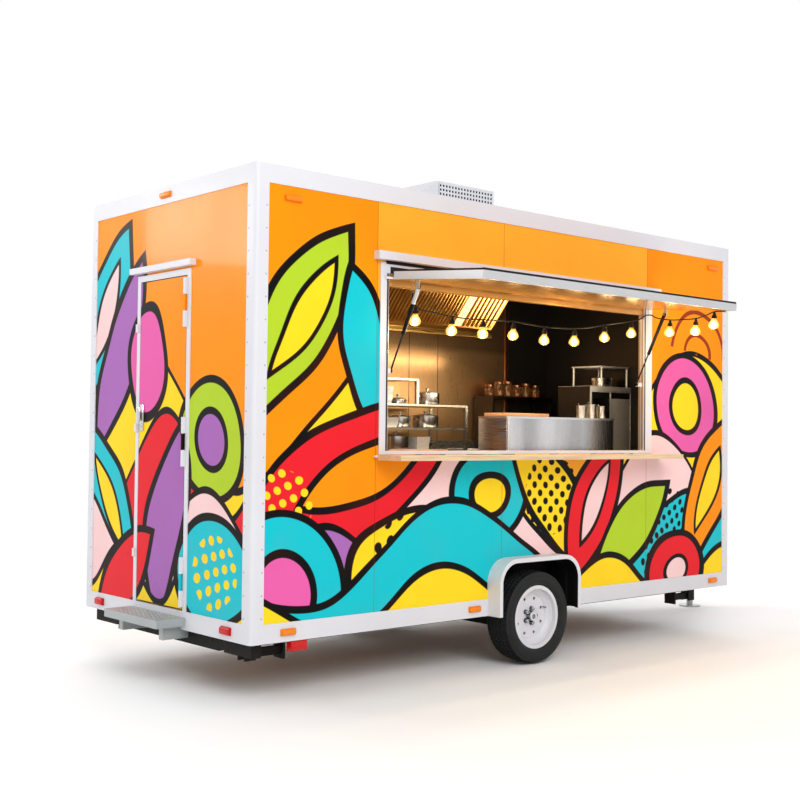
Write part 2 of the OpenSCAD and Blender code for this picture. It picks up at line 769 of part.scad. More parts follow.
// Body
module floor_deck() color(wood) place() {
    y = yl - depth;
    yt = tub_y - tub_t - seam;
    for (b = [[xr + depth, arch[0] - tub_t - seam, y], [arch[0] - tub_t, arch[1] + tub_t, yt],
        [arch[1] + tub_t + seam, xf - depth, y]])
        block([b[0], b[1], -b[2], b[2], floor_z, floor_top]);
}

module side_panel(x0, x1, z0, z1)
    block([x0, x1, yl - depth, yl - proud, z0, z1]);

module wall_left() color(orange) place() {
    x0 = xr + post_w;
    side_panel(x0, arch[0] - seam, z_sill, z_eave);
    side_panel(arch[0], arch[1], fender_z, z_eave);
    side_panel(arch[1] + seam, xf - post_w, z_sill, z_eave);
}

module wall_right() color(orange) place() mirror_left() {
    side_panel(xr + post_w, trim_out[0] - seam, z_sill, z_eave);
    side_panel(trim_out[0], arch[0] - seam, z_sill, trim_out[2]);
    side_panel(arch[0], arch[1], fender_z, trim_out[2]);
    side_panel(arch[1] + seam, trim_out[1], z_sill, trim_out[2]);
    side_panel(trim_out[0], trim_out[1], trim_out[3], z_eave);
    side_panel(trim_out[1] + seam, xf - post_w, z_sill, z_eave);
}

module end_panel(y0, y1, z0, z1) block([xr + proud, xr + depth, y0, y1, z0, z1]);

module wall_rear() color(orange) place() {
    end_panel(yr + post_w, door_y - door_w / 2, z_sill, z_eave);
    end_panel(door_y + door_w / 2, yl - post_w, z_sill, z_eave);
    end_panel(door_y - door_w / 2 + seam, door_y + door_w / 2 - seam, frame_z1, z_eave);
}

module wall_front() color(orange) place() mirror([1, 0, 0]) {
    for (k = [[yr + post_w, -seam / 2], [seam / 2, yl - post_w]])
        end_panel(k[0], k[1], z_sill, z_eave);
}

module roof_panel() color(white) place()
    block([xr + depth, xf - depth, yr + depth, yl - depth, zt - roof_drop - roof_t,
        zt - roof_drop]);

// A plan outline of the body with rounded corners
module body_2d() {
    square([body_l - corner_r * 2, body_w], center = true);
    square([body_l, body_w - corner_r * 2], center = true);
    for (x = [-1, 1], y = [-1, 1])
        translate([x * (body_l / 2 - corner_r), y * (body_w / 2 - corner_r)]) circle(r = corner_r);
}

// Corner posts: angles as thick as the walls
module corner_posts() color(white) place()
    translate([0, 0, body_z]) linear_extrude(height = z_eave - body_z)
        difference() {
            intersection() {
                body_2d();
                for (x = [-1, 1], y = [-1, 1])
                    translate([x * (body_l - post_w) / 2, y * (body_w - post_w) / 2])
                        square(post_w, center = true);
            }
            square([body_l - depth * 2, body_w - depth * 2], center = true);
        }

module sill_rails() color(white) place() {
    for (m = [0, 1]) mirror([0, m, 0]) {
        block([xr + post_w, axle_x - fender_half, yl - depth, yl, body_z, z_sill]);
        block([axle_x + fender_half, xf - post_w, yl - depth, yl, body_z, z_sill]);
    }
    for (m = [0, 1]) mirror([m, 0, 0])
        block([xr, xr + depth, yr + post_w, yl - post_w, body_z, z_sill]);
}

module roof_rails() color(white) place() {
    for (s = [-1, 1]) translate([0, 0, z_eave]) linear_extrude(height = eave_h)
        intersection() {
            body_2d();
            translate([0, s * (body_w - depth) / 2]) square([body_l, depth], center = true);
        }
    for (m = [0, 1]) mirror([m, 0, 0])
        block([xr, xr + depth, yr + depth + seam, yl - depth - seam, z_eave, zt]);
}

// A fixed hinge half along X: knuckles at both ends of a place, a pin and leaves to the wall
module hinge_fixed_x(x, y, z, wall_y) {
    for (k = [-1, 1]) {
        x0 = x + k * (knuckle_l + knuckle_play) - knuckle_l / 2;
        bar_x(x0, x0 + knuckle_l, y, z, knuckle_r);
        block([x0, x0 + knuckle_l, y, wall_y, z - knuckle_leaf / 2, z + knuckle_leaf / 2]);
    }
    bar_x(x - knuckle_l, x + knuckle_l, y, z, pin_r);
}

// A moving hinge half along X: a bored knuckle and its leaf, reaching towards -Y
module hinge_moving_x(x, y, z, reach) difference() {
    union() {
        bar_x(x - knuckle_l / 2, x + knuckle_l / 2, y, z, knuckle_r);
        block([x - knuckle_l / 2, x + knuckle_l / 2, y - reach, y, z - knuckle_leaf / 2,
            z + knuckle_leaf / 2]);
    }
    bar_x(x - knuckle_l, x + knuckle_l, y, z, pin_r + pin_play);
}

module window_frame() color(white) place() {
    y = [yr, yr + depth];
    block([trim_out[0], open_x0, y[0], y[1], trim_out[2], trim_out[3]]);
    block([open_x1, trim_out[1], y[0], y[1], trim_out[2], trim_out[3]]);
    block([open_x0 + seam, open_x1 - seam, y[0], y[1], trim_out[2], open_z0]);
    block([open_x0 + seam, open_x1 - seam, y[0], y[1], open_z1, trim_out[3]]);
    for (h = shelf_hinge_shares)
        hinge_fixed_x(shelf_x[0] + h * (shelf_x[1] - shelf_x[0]), hinge_y, shelf_pivot_z, yr + proud);
    for (e = [0, 1]) {
        x = e == 0 ? open_x0 : open_x1;
        k = e == 0 ? 1 : -1;
        inner = strut_in - eye_t / 2 - eye_gap;
        fy = hinge_y + strut_foot[0];
        fz = hatch_z - strut_foot[1];
        block([min(x, x + k * inner), max(x, x + k * inner), fy - lug_w / 2 + hinge_off,
            fy + lug_w / 2 + hinge_off, fz - lug_w / 2, fz + lug_w / 2]);
    }
}

module hatch_header() color(white) place() {
    block([drip_rail[0], drip_rail[1], yr + proud - drip_rail[4], yr + proud, drip_rail[2],
        drip_rail[3]]);
    for (h = hatch_hinge_shares)
        hinge_fixed_x(hatch_x[0] + h * hatch_w, hinge_y, hatch_z, yr);
}

// The hatch is drawn level about its hinge line and then lowered by its droop
module on_hatch() translate([0, hinge_y, hatch_z]) rotate([hatch_droop, 0, 0]) children();

module hatch_panel() color(white) place() on_hatch() {
    block([hatch_x[0], hatch_x[1], -hatch_d, -hinge_lead, -hinge_face, hatch_t - hinge_face]);
    for (h = hatch_hinge_shares)
        hinge_moving_x(hatch_x[0] + h * hatch_w, 0, 0, hinge_lead + over);
    for (e = [0, 1]) strut_lug(e);
}

function strut_x(e) = e == 0 ? open_x0 + strut_in : open_x1 - strut_in;

module strut_lug(e) {
    k = e == 0 ? -1 : 1;
    x = strut_x(e) + k * (eye_t / 2 + seam);
    block([min(x, x + k * lug_t), max(x, x + k * lug_t), -strut_eye[0] - lug_w / 2,
        -strut_eye[0] + lug_w / 2, -strut_eye[1] - lug_w / 2, -hinge_face + over]);
    bar_x(min(x + k * over, strut_x(e) - k * eye_t / 2), max(x + k * over,
        strut_x(e) - k * eye_t / 2), -strut_eye[0], -strut_eye[1], strut_pin_r);
}

// Upper and lower eyes of a strut in the body's frame, as [y, z]
strut_top = [hinge_y - strut_eye[0] * cos(hatch_droop) + strut_eye[1] * sin(hatch_droop),
    hatch_z - strut_eye[0] * sin(hatch_droop) - strut_eye[1] * cos(hatch_droop)];
strut_low = [hinge_y + strut_foot[0] + hinge_off, hatch_z - strut_foot[1]];
strut_l = norm(strut_low - strut_top);
strut_tilt = atan2(strut_low[0] - strut_top[0], strut_top[1] - strut_low[1]);

module on_strut(e)
    translate([strut_x(e), strut_top[0], strut_top[1]]) rotate([strut_tilt, 0, 0]) children();

module strut_tube(e) color(black) place() on_strut(e) difference() {
    union() {
        bar_x(-eye_t / 2, eye_t / 2, 0, 0, eye_r);
        translate([0, 0, -strut_tube_l]) cylinder(r = strut_tube_r, h = strut_tube_l - eye_r / 2);
    }
    bar_x(-eye_r * 2, eye_r * 2, 0, 0, strut_pin_r + strut_play);
    translate([0, 0, -strut_tube_l - over])
        cylinder(r = strut_rod_r + strut_play, h = strut_tube_l - eye_r * 2);
    for (x = [eye_t / 2, -eye_t / 2 - eye_r])
        translate([x, -eye_r * 2, -eye_r * 2]) cube([eye_r, eye_r * 4, eye_r * 3]);
}
rod_stay = 30;
module strut_rod(e) color(steel) place() on_strut(e) {
    translate([0, 0, -strut_l]) cylinder(r = strut_rod_r, h = strut_l - strut_tube_l + rod_stay);
    translate([0, 0, -strut_l]) bar_x(-eye_t / 2, eye_t / 2, 0, 0, eye_r);
}
module strut_tube_rear() strut_tube(0);
module strut_tube_front() strut_tube(1);
module strut_rod_rear() strut_rod(0);
module strut_rod_front() strut_rod(1);

module serving_shelf() color(wood) place() {
    translate([0, hinge_y, shelf_pivot_z]) {
        block([shelf_x[0], shelf_x[1], -shelf_d, -hinge_lead, hinge_face - shelf_t, hinge_face]);
        for (h = shelf_hinge_shares)
            hinge_moving_x(shelf_x[0] + h * (shelf_x[1] - shelf_x[0]), 0, 0, hinge_lead + over);
    }
}

// The door: a frame, a leaf with hinge pins on the right, a lock on the left
module door_frame() color(white) place() {
    y0 = door_y - door_w / 2;
    y1 = door_y + door_w / 2;
    block([xr, xr + depth, y0, door_in[0], z_sill, frame_z1]);
    block([xr, xr + depth, door_in[1], y1, z_sill, frame_z1]);
    block([xr, xr + depth, door_in[0] + seam, door_in[1] - seam, frame_z1 - jamb_w, frame_z1]);
    block([xr + proud - door_cap[2], xr + proud, y0 - door_cap[0], y1 + door_cap[0],
        frame_z1 + door_cap_gap, frame_z1 + door_cap_gap + door_cap[1]]);
    for (z = keeper_z)
        block([xr - keeper[2], xr, y1 - jamb_w / 2 - keeper[0] / 2, y1 - jamb_w / 2 + keeper[0] / 2,
            z - keeper[1] / 2, z + keeper[1] / 2]);
    for (h = door_hinge_shares) {
        z = door_z0 + h * (door_z1 - door_z0);
        for (k = [-1, 1]) {
            zk = z + k * (knuckle_l + knuckle_play) - knuckle_l / 2;
            translate([door_hinge_x, leaf_y[0], zk]) cylinder(r = knuckle_r, h = knuckle_l,
                $fn = small_n);
            block([door_hinge_x, xr, leaf_y[0] - knuckle_r, leaf_y[0] - knuckle_r + knuckle_leaf,
                zk, zk + knuckle_l]);
        }
        translate([door_hinge_x, leaf_y[0], z - knuckle_l]) cylinder(r = pin_r, h = knuckle_l * 2,
            $fn = small_n);
    }
}

module door_leaf() color(orange) place() {
    block([xr, xr + wall_t, leaf_y[0], leaf_y[1], door_z0, door_z1]);
    for (h = door_hinge_shares) {
        z = door_z0 + h * (door_z1 - door_z0);
        difference() {
            union() {
                translate([door_hinge_x, leaf_y[0], z - knuckle_l / 2])
                    cylinder(r = knuckle_r, h = knuckle_l, $fn = small_n);
                block([door_hinge_x, xr + over, leaf_y[0] + knuckle_r - knuckle_leaf,
                    leaf_y[0] + knuckle_r, z - knuckle_l / 2, z + knuckle_l / 2]);
            }
            translate([door_hinge_x, leaf_y[0], z - knuckle_l])
                cylinder(r = pin_r + pin_play, h = knuckle_l * 2, $fn = small_n);
        }
    }
}

module door_lock() color(steel) place() {
    y = leaf_y[1] - lock_in - lock_plate[0];
    block([xr - lock_plate[2], xr, y, y + lock_plate[0], lock_z - lock_plate[1] / 2,
        lock_z + lock_plate[1] / 2]);
    block([xr - lock_plate[2] - lock_grip[2], xr - lock_plate[2], y + lock_grip[0],
        y + lock_grip[0] * 2, lock_z - lock_grip[1] / 2, lock_z + lock_grip[1] / 2]);
}

module step_plate() color(grey) place() {
    y0 = door_y - door_w / 2;
    y1 = door_y + door_w / 2;
    block([xr - step_d, xr, y0, y1, step_z - step_t, step_z]);
    for (y = [y0 + step_arm_in, y1 - step_arm_in])
        block([xr - step_d + step_arm_in, xr + rail_in, y - step_arm[0] / 2, y + step_arm[0] / 2,
            body_z - step_arm[1], body_z]);
    for (y = [y0 + step_arm_in, y1 - step_arm_in])
        block([xr - step_d + step_arm_in, xr - over, y - step_arm[0] / 2, y + step_arm[0] / 2,
            body_z - over, step_z - step_t + over]);
}

// Roof vent: a box with a slope at its rear and a grid of holes on the right side
vent_cell = [(vent_box[1] - vent_box[0] - vent_t * 4) / vent_grid[0],
    (vent_box[3] - vent_t * 2 - vent_row0) / vent_grid[1]];
function vent_hole_x(i) = vent_box[0] + vent_t * 2 + i * vent_cell[0] + vent_rib / 2;
function vent_hole_z(j) = vent_row0 + j * vent_cell[1] + vent_rib / 2;
module roof_vent() color(white) place() translate([0, 0, zt - roof_drop]) {
    difference() {
        translate([0, vent_box[2], 0]) rotate([right_turn, 0, 0])
            linear_extrude(height = vent_box[2] * 2)
                polygon([[vent_box[0] - vent_slope, 0], [vent_box[1], 0], [vent_box[1], vent_box[3]],
                    [vent_box[0], vent_box[3]]]);
        block([vent_box[0] + vent_t, vent_box[1] - vent_t, -vent_box[2] + vent_t,
            vent_box[2] - vent_t, -over, vent_box[3] - vent_t]);
        for (i = [0 : vent_grid[0] - 1], j = [0 : vent_grid[1] - 1])
            block([vent_hole_x(i), vent_hole_x(i) + vent_cell[0] - vent_rib, -vent_box[2] - over,
                -vent_box[2] + vent_t / 2, vent_hole_z(j), vent_hole_z(j) + vent_cell[1] - vent_rib]);
    }
}

module marker_lamps() color(amber) place() {
    z_side = zt - side_lamp_drop;
    z_sill_lamp = body_z + sill_h / 2;
    for (m = [0, 1]) mirror([0, m, 0]) {
        for (x = [xr + side_lamp_in[0], xf - side_lamp_in[1]])
            block([x - side_lamp[0] / 2, x + side_lamp[0] / 2, yl - proud, yl - proud + side_lamp[2],
                z_side - side_lamp[1] / 2, z_side + side_lamp[1] / 2]);
        for (x = [xr + sill_lamp_in[0], axle_x + sill_lamp_mid, xf - sill_lamp_in[1]])
            block([x - sill_lamp[0] / 2, x + sill_lamp[0] / 2, yl, yl + sill_lamp[2],
                z_sill_lamp - sill_lamp[1] / 2, z_sill_lamp + sill_lamp[1] / 2]);
    }
    block([xr - roof_lamp[2], xr, -roof_lamp[0] / 2, roof_lamp[0] / 2,
        zt - eave_h / 2 - roof_lamp[1] / 2, zt - eave_h / 2 + roof_lamp[1] / 2]);
}

module tail_lamps() color(red) place() {
    under = [xr + under_lamp_at[0], yr + under_lamp_at[1]];
    for (y = [yr + rear_lamp_in[0], yl - rear_lamp_in[1]])
        block([xr - rear_lamp[2], xr, y - rear_lamp[0] / 2, y + rear_lamp[0] / 2,
            body_z + sill_h / 2 - rear_lamp[1] / 2, body_z + sill_h / 2 + rear_lamp[1] / 2]);
    block([under[0] - under_lamp[0] / 2, under[0] + under_lamp[0] / 2,
        under[1] - under_lamp[1] / 2, under[1] + under_lamp[1] / 2,
        body_z - under_lamp[2], body_z]);
}

// String lights: a cord on hooks under the hatch, with bulbs hanging from it
function cord_at(p) = [p[0], -p[1], -hinge_face - p[2]];
module light_cord() color(black) place() on_hatch() {
    n = len(cord_points);
    for (i = [0 : n - 2]) rod(cord_at(cord_points[i]), cord_at(cord_points[i + 1]), cord_r, cord_n);
    for (i = hook_at) translate(cord_at(cord_points[i]))
        cylinder(r = hook_r, h = cord_points[i][2], $fn = cord_n);
}
module light_bulbs() color(warm) place() on_hatch() for (i = bulb_at)
    translate(cord_at(cord_points[i])) {
        translate([0, 0, -cord_r - socket_sec[1]]) cylinder(r = socket_sec[0], h = socket_sec[1],
            $fn = tiny_n);
        translate([0, 0, -cord_r - socket_sec[1] - bulb_r * tread_share])
            sphere(r = bulb_r, $fn = tiny_n);
    }

// Kitchen
module back_counter() color(steel) place() {
    block([work_x[0], work_x[1], work_y, inner_y, work_z - worktop_t, work_z]);
    block([work_x[0], work_x[1], inner_y - worktop_t / 2, inner_y, work_z - over,
        work_z + splash_h]);
}

module counter_legs() color(steel) place() {
    run = work_x[1] - work_x[0] - leg_w;
    for (k = leg_shares, y = leg_y)
        block([work_x[0] + k * run, work_x[0] + k * run + leg_w, y, y + leg_w, floor_top,
            work_z - worktop_t]);
}

module counter_shelf() color(steel) place()
    block([work_x[0], work_x[1], leg_y[0] + leg_w, leg_y[1], floor_top + low_shelf[0],
        floor_top + low_shelf[0] + low_shelf[1]]);

module front_unit() color(steel) place() difference() {
    block([unit_x[0], unit_x[1], unit_y, unit_y + unit_sec[1], floor_top, unit_z]);
    block([unit_x[0] + unit_t, unit_x[1] - unit_t, unit_y + unit_t,
        unit_y + unit_sec[1] - unit_t, floor_top - over, unit_z - unit_t]);
}

// The hood in section, as points of Y and Z, with its sheet drawn in by its thickness
module hood_2d(t) {
    y0 = inner_y - hood_sec[0];
    z0 = roof_z - hood_sec[1];
    polygon([[y0 + t * 2, z0], [inner_y - t, z0], [inner_y - t, roof_z - t],
        [inner_y - hood_sec[2] + t * 3, roof_z - t], [y0 + t * 2, z0 + hood_lip]]);
}
module hood() color(steel) place() difference() {
    translate([hood_x[0], 0, 0]) rotate([right_turn, 0, right_turn])
        linear_extrude(height = hood_x[1] - hood_x[0]) hood_2d(0);
    translate([hood_x[0] + sheet_t, 0, -over]) rotate([right_turn, 0, right_turn])
        linear_extrude(height = hood_x[1] - hood_x[0] - sheet_t * 2) hood_2d(sheet_t);
}

module shelf_rack() color(steel) place() {
    y0 = inner_y - rack_sec[0];
    y1 = y0 + rack_sec[1];
    for (z = rack_z) block([rack_x[0], rack_x[1], y0, y1, work_z + z, work_z + z + rack_t]);
    for (x = [rack_x[0], rack_x[1] - rack_leg], y = [y0, y1 - rack_leg])
        block([x, x + rack_leg, y, y + rack_leg, work_z, work_z + rack_z[1] + over]);
    block([rack_x[0], rack_tier[0], y0, y1, work_z + rack_tier[1], work_z + rack_tier[1] + rack_t]);
    for (x = [rack_x[0], rack_tier[0] - rack_leg], y = [y0, y1 - rack_leg])
        block([x, x + rack_leg, y, y + rack_leg, work_z + rack_z[1], work_z + rack_tier[1] + over]);
}

module cabinet() color(steel) place() {
    y0 = inner_y - cabinet_sec[0];
    y1 = y0 + cabinet_sec[1];
    z1 = floor_top + cabinet_sec[2];
    difference() {
        block([cabinet_x[0], cabinet_x[1], y0, y1, floor_top, z1]);
        block([cabinet_x[0] + unit_t, cabinet_x[1] - unit_t, y0 + unit_t, y1 - unit_t,
            floor_top - over, z1 - unit_t]);
    }
}

module jar_shelf() color(steel) place() {
    y0 = inner_y - jar_sec[0];
    z1 = work_z + jar_sec[2];
    block([jar_x[0], jar_x[1], y0, y0 + jar_sec[1], z1 - jar_sec[3], z1]);
    for (x = [jar_x[0], jar_x[1] - jar_foot])
        block([x, x + jar_foot, y0, y0 + jar_sec[1], work_z, z1 - jar_sec[3] + over]);
}

// A closed vessel with a lid: radius, height
module vessel(r, h, n) {
    difference() {
        union() {
            cylinder(r = r - lid[0], h = h - over, $fn = n);
            translate([0, 0, h - lid[1]]) cylinder(r = r, h = lid[1], $fn = n);
        }
        translate([0, 0, sheet_t])
            cylinder(r = r - lid[0] - sheet_t, h = h - lid[1] - sheet_t * 2, $fn = n);
    }
    translate([0, 0, h - over]) cylinder(r = knob[0], h = knob[1] + over, $fn = tiny_n);
}
module cookware() color(grey) place() {
    for (level = [[work_z + rack_z[1] + rack_t, pots_high], [work_z + rack_z[0] + rack_t, pots_low],
        [work_z, pots_top]])
        for (p = level[1]) translate([p[0], inner_y - p[1], level[0]])
            vessel(p[2], p[3], fine_n / 2);
    translate([cabinet_x[0] + cabinet_pot[0], inner_y - cabinet_pot[1], floor_top + cabinet_sec[2]])
        vessel(cabinet_pot[2], cabinet_pot[3], fine_n / 2);
    for (p = jars) translate([jar_x[0] + p[0], inner_y - p[1], work_z + jar_sec[2]])
        vessel(p[2], p[3], small_n);
    for (p = cups) translate([p[0], unit_y + p[1], unit_z]) vessel(p[2], p[3], small_n);
    block([board_x[0], board_x[1], unit_y + board_sec[0], unit_y + board_sec[0] + board_sec[1],
        unit_z, unit_z + board_sec[2]]);
}

chassis_frame();
cross_members();
drawbar();
coupler();
jack_tube();
jack_leg();
axle_beam();
rim_left();
rim_right();
tyre_left();
tyre_right();
fender_left();
fender_right();
wheel_tubs();
floor_deck();
wall_right();
wall_left();
wall_front();
wall_rear();
roof_panel();
corner_posts();
sill_rails();
roof_rails();
door_frame();
door_leaf();
door_lock();
step_plate();
window_frame();
hatch_header();
hatch_panel();
strut_tube_rear();
strut_rod_rear();
strut_tube_front();
strut_rod_front();
serving_shelf();
roof_vent();
marker_lamps();
tail_lamps();
light_cord();
light_bulbs();
steady_rr();
steady_rl();
steady_fr();
steady_fl();
back_counter();
counter_legs();
counter_shelf();
front_unit();
hood();
shelf_rack();
cabinet();
jar_shelf();
cookware();
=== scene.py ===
"""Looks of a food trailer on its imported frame: paint, wall art, serving hatch, string lights and kitchen."""

import json
import logging
import math
from dataclasses import dataclass, field
from enum import Enum
from typing import ClassVar, Dict, List, Sequence, Tuple, Union

import bmesh
import bpy
from mathutils import Matrix, Vector


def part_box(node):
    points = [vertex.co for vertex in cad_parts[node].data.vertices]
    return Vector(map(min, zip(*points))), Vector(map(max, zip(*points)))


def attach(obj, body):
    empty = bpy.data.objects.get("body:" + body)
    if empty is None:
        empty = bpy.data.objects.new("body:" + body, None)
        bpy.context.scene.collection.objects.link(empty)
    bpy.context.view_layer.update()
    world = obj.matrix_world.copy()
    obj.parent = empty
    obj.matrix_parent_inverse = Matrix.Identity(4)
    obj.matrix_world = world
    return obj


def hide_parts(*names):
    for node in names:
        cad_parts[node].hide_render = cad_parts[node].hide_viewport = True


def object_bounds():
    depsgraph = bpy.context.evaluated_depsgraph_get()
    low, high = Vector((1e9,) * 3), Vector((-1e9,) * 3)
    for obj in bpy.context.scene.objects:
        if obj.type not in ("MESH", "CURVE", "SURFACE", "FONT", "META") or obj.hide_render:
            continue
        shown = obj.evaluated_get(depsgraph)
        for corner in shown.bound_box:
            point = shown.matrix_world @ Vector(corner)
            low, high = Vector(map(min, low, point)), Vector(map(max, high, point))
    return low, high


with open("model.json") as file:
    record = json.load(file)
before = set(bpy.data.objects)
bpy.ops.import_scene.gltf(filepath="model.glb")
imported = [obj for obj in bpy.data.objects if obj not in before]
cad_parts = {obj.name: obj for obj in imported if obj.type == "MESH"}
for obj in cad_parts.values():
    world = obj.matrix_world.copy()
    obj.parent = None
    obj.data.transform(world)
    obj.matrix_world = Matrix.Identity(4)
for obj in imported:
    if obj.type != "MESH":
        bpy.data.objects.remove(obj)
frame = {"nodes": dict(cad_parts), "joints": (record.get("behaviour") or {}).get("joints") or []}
CAD_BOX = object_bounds()
LOG = logging.getLogger("food_trailer")
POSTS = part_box("corner_posts")
MIDDLE = (POSTS[0] + POSTS[1]) / 2
PIVOTS = {joint["name"]: Vector(joint["pos_m"]) for joint in frame["joints"]}
SLIDES = {joint["name"]: Vector(joint["axis"]) for joint in frame["joints"]}

Point = Tuple[float, float, float]
Pair = Tuple[float, float]
Rgba = Tuple[float, float, float, float]
Socket = bpy.types.NodeSocket
Feed = Union[float, Sequence[float], bpy.types.NodeSocket]
Box = Tuple[Vector, Vector]
TURN, QUARTER = 2 * math.pi, math.pi / 2
FRONT, UP = Vector((1, 0, 0)), Vector((0, 0, 1))
LEFT = Vector((0, 1, 0))
EVEN = (1.0, 1.0, 1.0)
WARM, MILD = (1.0, 0.8, 0.52), (1.0, 0.93, 0.83)
PURE_WHITE = (1.0, 1.0, 1.0, 1.0)


def linear(part: float) -> float:
    """One sRGB part out of 255 as a linear share."""
    share = part / 255
    return share / 12.92 if share <= 0.04045 else ((share + 0.055) / 1.055) ** 2.4


class Hue(Enum):
    """The trailer's colours, as sRGB parts out of 255."""

    WHITE = (219, 219, 225)
    RIVET = (176, 176, 182)
    CREAM = (236, 228, 214)
    DUST = (150, 138, 120)
    SOOT = (14, 14, 15)
    STEEL = (196, 194, 190)
    DARK_STEEL = (58, 55, 52)
    COPPER = (150, 104, 78)
    SHADE = (30, 26, 23)
    NIGHT = (17, 14, 12)
    CHROME = (214, 214, 216)
    # Chrome darkened as a painted dark reflection.
    CHROME_DARK_REFLECTION = (128, 130, 130)
    ZINC = (168, 171, 174)
    STEP = (176, 182, 182)
    RUBBER = (26, 28, 30)
    PLY = (176, 132, 84)
    SHELF = (226, 198, 156)
    BOARD = (204, 152, 108)
    GRAIN = (120, 74, 36)
    AMBER = (240, 132, 4)
    TAIL = (200, 22, 20)
    GLOW_CORE = (255, 240, 190)
    GLOW_RIM = (255, 196, 84)
    HATCH_WARM_REFLECTION = (204, 145, 66)
    WALL_SHEET = (214, 172, 126)
    FILTER = (198, 148, 74)
    HOOD = (158, 110, 54)
    GOLD_HIGHLIGHT = (252, 204, 118)
    COOL_STEEL = (168, 182, 204)
    JAMB = (186, 160, 132)
    SPICE = (132, 74, 24)
    GLASS = (196, 142, 78)
    INK = (10, 8, 9)
    ORANGE = (251, 145, 8)
    # Lighter orange for a painted sheen on the walls.
    SHEEN_ORANGE = (252, 172, 46)
    YELLOW = (252, 214, 34)
    RED = (228, 32, 44)
    TEAL = (22, 192, 204)
    PINK = (228, 96, 168)
    PURPLE = (166, 104, 178)
    LIME = (176, 206, 44)
    BLUSH = (244, 206, 206)
    RUST = (150, 52, 18)

    def rgba(self, shade: float = 1.0) -> Rgba:
        """The colour as linear RGBA.

        Args:
            shade: factor on the three parts.

        Returns:
            Four numbers for a colour socket.
        """
        red, green, blue = (min(1.0, linear(part) * shade) for part in self.value)
        return red, green, blue, 1.0


class Nodes:
    """A node tree, with short ways to add, feed and link its nodes."""

    def __init__(self, tree: bpy.types.NodeTree) -> None:
        """Starts with an empty tree."""
        self.tree = tree
        self.tree.nodes.clear()

    def add(self, kind: str, feeds: Union[Dict, None] = None, **settings: object) -> bpy.types.Node:
        """Adds a node.

        Args:
            kind: the type of node.
            feeds: what its sockets get, by name or index.
            settings: its properties.

        Returns:
            The node.
        """
        node = self.tree.nodes.new(kind)
        for key, value in settings.items():
            setattr(node, key, value)
        for key, value in (feeds or {}).items():
            self.feed(node.inputs[key], value)
        return node

    def feed(self, socket: Socket, value: Feed) -> None:
        """Links a socket's value, or sets it where it is a constant.

        Args:
            socket: the socket that gets it.
            value: another socket or a constant.
        """
        if isinstance(value, bpy.types.NodeSocket):
            self.tree.links.new(value, socket)
        else:
            socket.default_value = value

    def math(self, operation: str, *values: Feed) -> Socket:
        """A Math node of an operation on some values."""
        return self.add("ShaderNodeMath", dict(enumerate(values)), operation=operation).outputs[0]


class Shader(Nodes):
    """The node tree of one material, with a Principled surface at its end."""

    def __init__(self, name: str) -> None:
        """Starts a tree that reads Object coordinates.

        Args:
            name: the material's name.
        """
        self.material = bpy.data.materials.new(name)
        self.material.use_nodes = True
        super().__init__(self.material.node_tree)
        self.surface = self.add("ShaderNodeBsdfPrincipled")
        self.out = self.add("ShaderNodeOutputMaterial", {0: self.surface.outputs[0]})
        self.place: Socket = self.add("ShaderNodeTexCoord").outputs["Object"]

    def vector(self, operation: str, *values: Feed) -> Socket:
        """A Vector Math node; LENGTH gives a number, the rest a vector."""
        node = self.add("ShaderNodeVectorMath", dict(enumerate(values)), operation=operation)
        return node.outputs["Value" if operation == "LENGTH" else "Vector"]

    def split(self, vector: Socket) -> Tuple[Socket, Socket, Socket]:
        """The three parts of a vector."""
        parts = self.add("ShaderNodeSeparateXYZ", {0: vector}).outputs
        return parts[0], parts[1], parts[2]

    def join(self, x: Feed, y: Feed, z: Feed = 0.0) -> Socket:
        """A vector of three parts."""
        return self.add("ShaderNodeCombineXYZ", {0: x, 1: y, 2: z}).outputs[0]

    def noise(self, scale: float, stretch: Point = EVEN, detail: float = 3.0, output: str = "Fac",
              place: Union[Socket, None] = None) -> Socket:
        """Cloudy noise.

        Args:
            scale: features in a metre.
            stretch: factors on the coordinates, for a grain.
            detail: octaves.
            output: "Fac" for a number, "Color" for three.
            place: coordinates, the object's own where left out.

        Returns:
            The noise's socket.
        """
        source = self.place if place is None else place
        if stretch != EVEN:
            source = self.vector("MULTIPLY", source, stretch)
        feeds = {"Vector": source, "Scale": scale, "Detail": detail}
        return self.add("ShaderNodeTexNoise", feeds).outputs[output]

    def cells(self, scale: float) -> Socket:
        """A grey of its own for each cell of a crystal pattern."""
        node = self.add("ShaderNodeTexVoronoi", {"Vector": self.place, "Scale": scale})
        return self.split(node.outputs["Color"])[0]

    def mix(self, share: Feed, first: Feed, second: Feed) -> Socket:
        """A colour between two, by a share."""
        return self.add("ShaderNodeMix", {0: share, 6: first, 7: second}, data_type="RGBA").outputs[2]

    def fit(self, value: Feed, low: float, high: float, to_low: float = 0.0, to_high: float = 1.0) -> Socket:
        """A value carried from one range to another and held there."""
        ends = dict(enumerate((value, low, high, to_low, to_high)))
        return self.add("ShaderNodeMapRange", ends, clamp=True).outputs[0]

    def middling(self, value: Feed, to_low: float = 0.0, to_high: float = 1.0) -> Socket:
        """A noise's middle stretch carried to a range."""
        return self.fit(value, 0.3, 0.7, to_low, to_high)

    def bump(self, height: Socket, strength: float, distance: float = 0.001) -> None:
        """Raises the surface by a height."""
        node = self.add("ShaderNodeBump", {"Strength": strength, "Distance": distance, "Height": height})
        self.set(Normal=node.outputs[0])

    def set(self, **sockets: Feed) -> None:
        """Feeds the surface's sockets, named with underscores for spaces."""
        for key, value in sockets.items():
            self.feed(self.surface.inputs[key.replace("_", " ")], value)


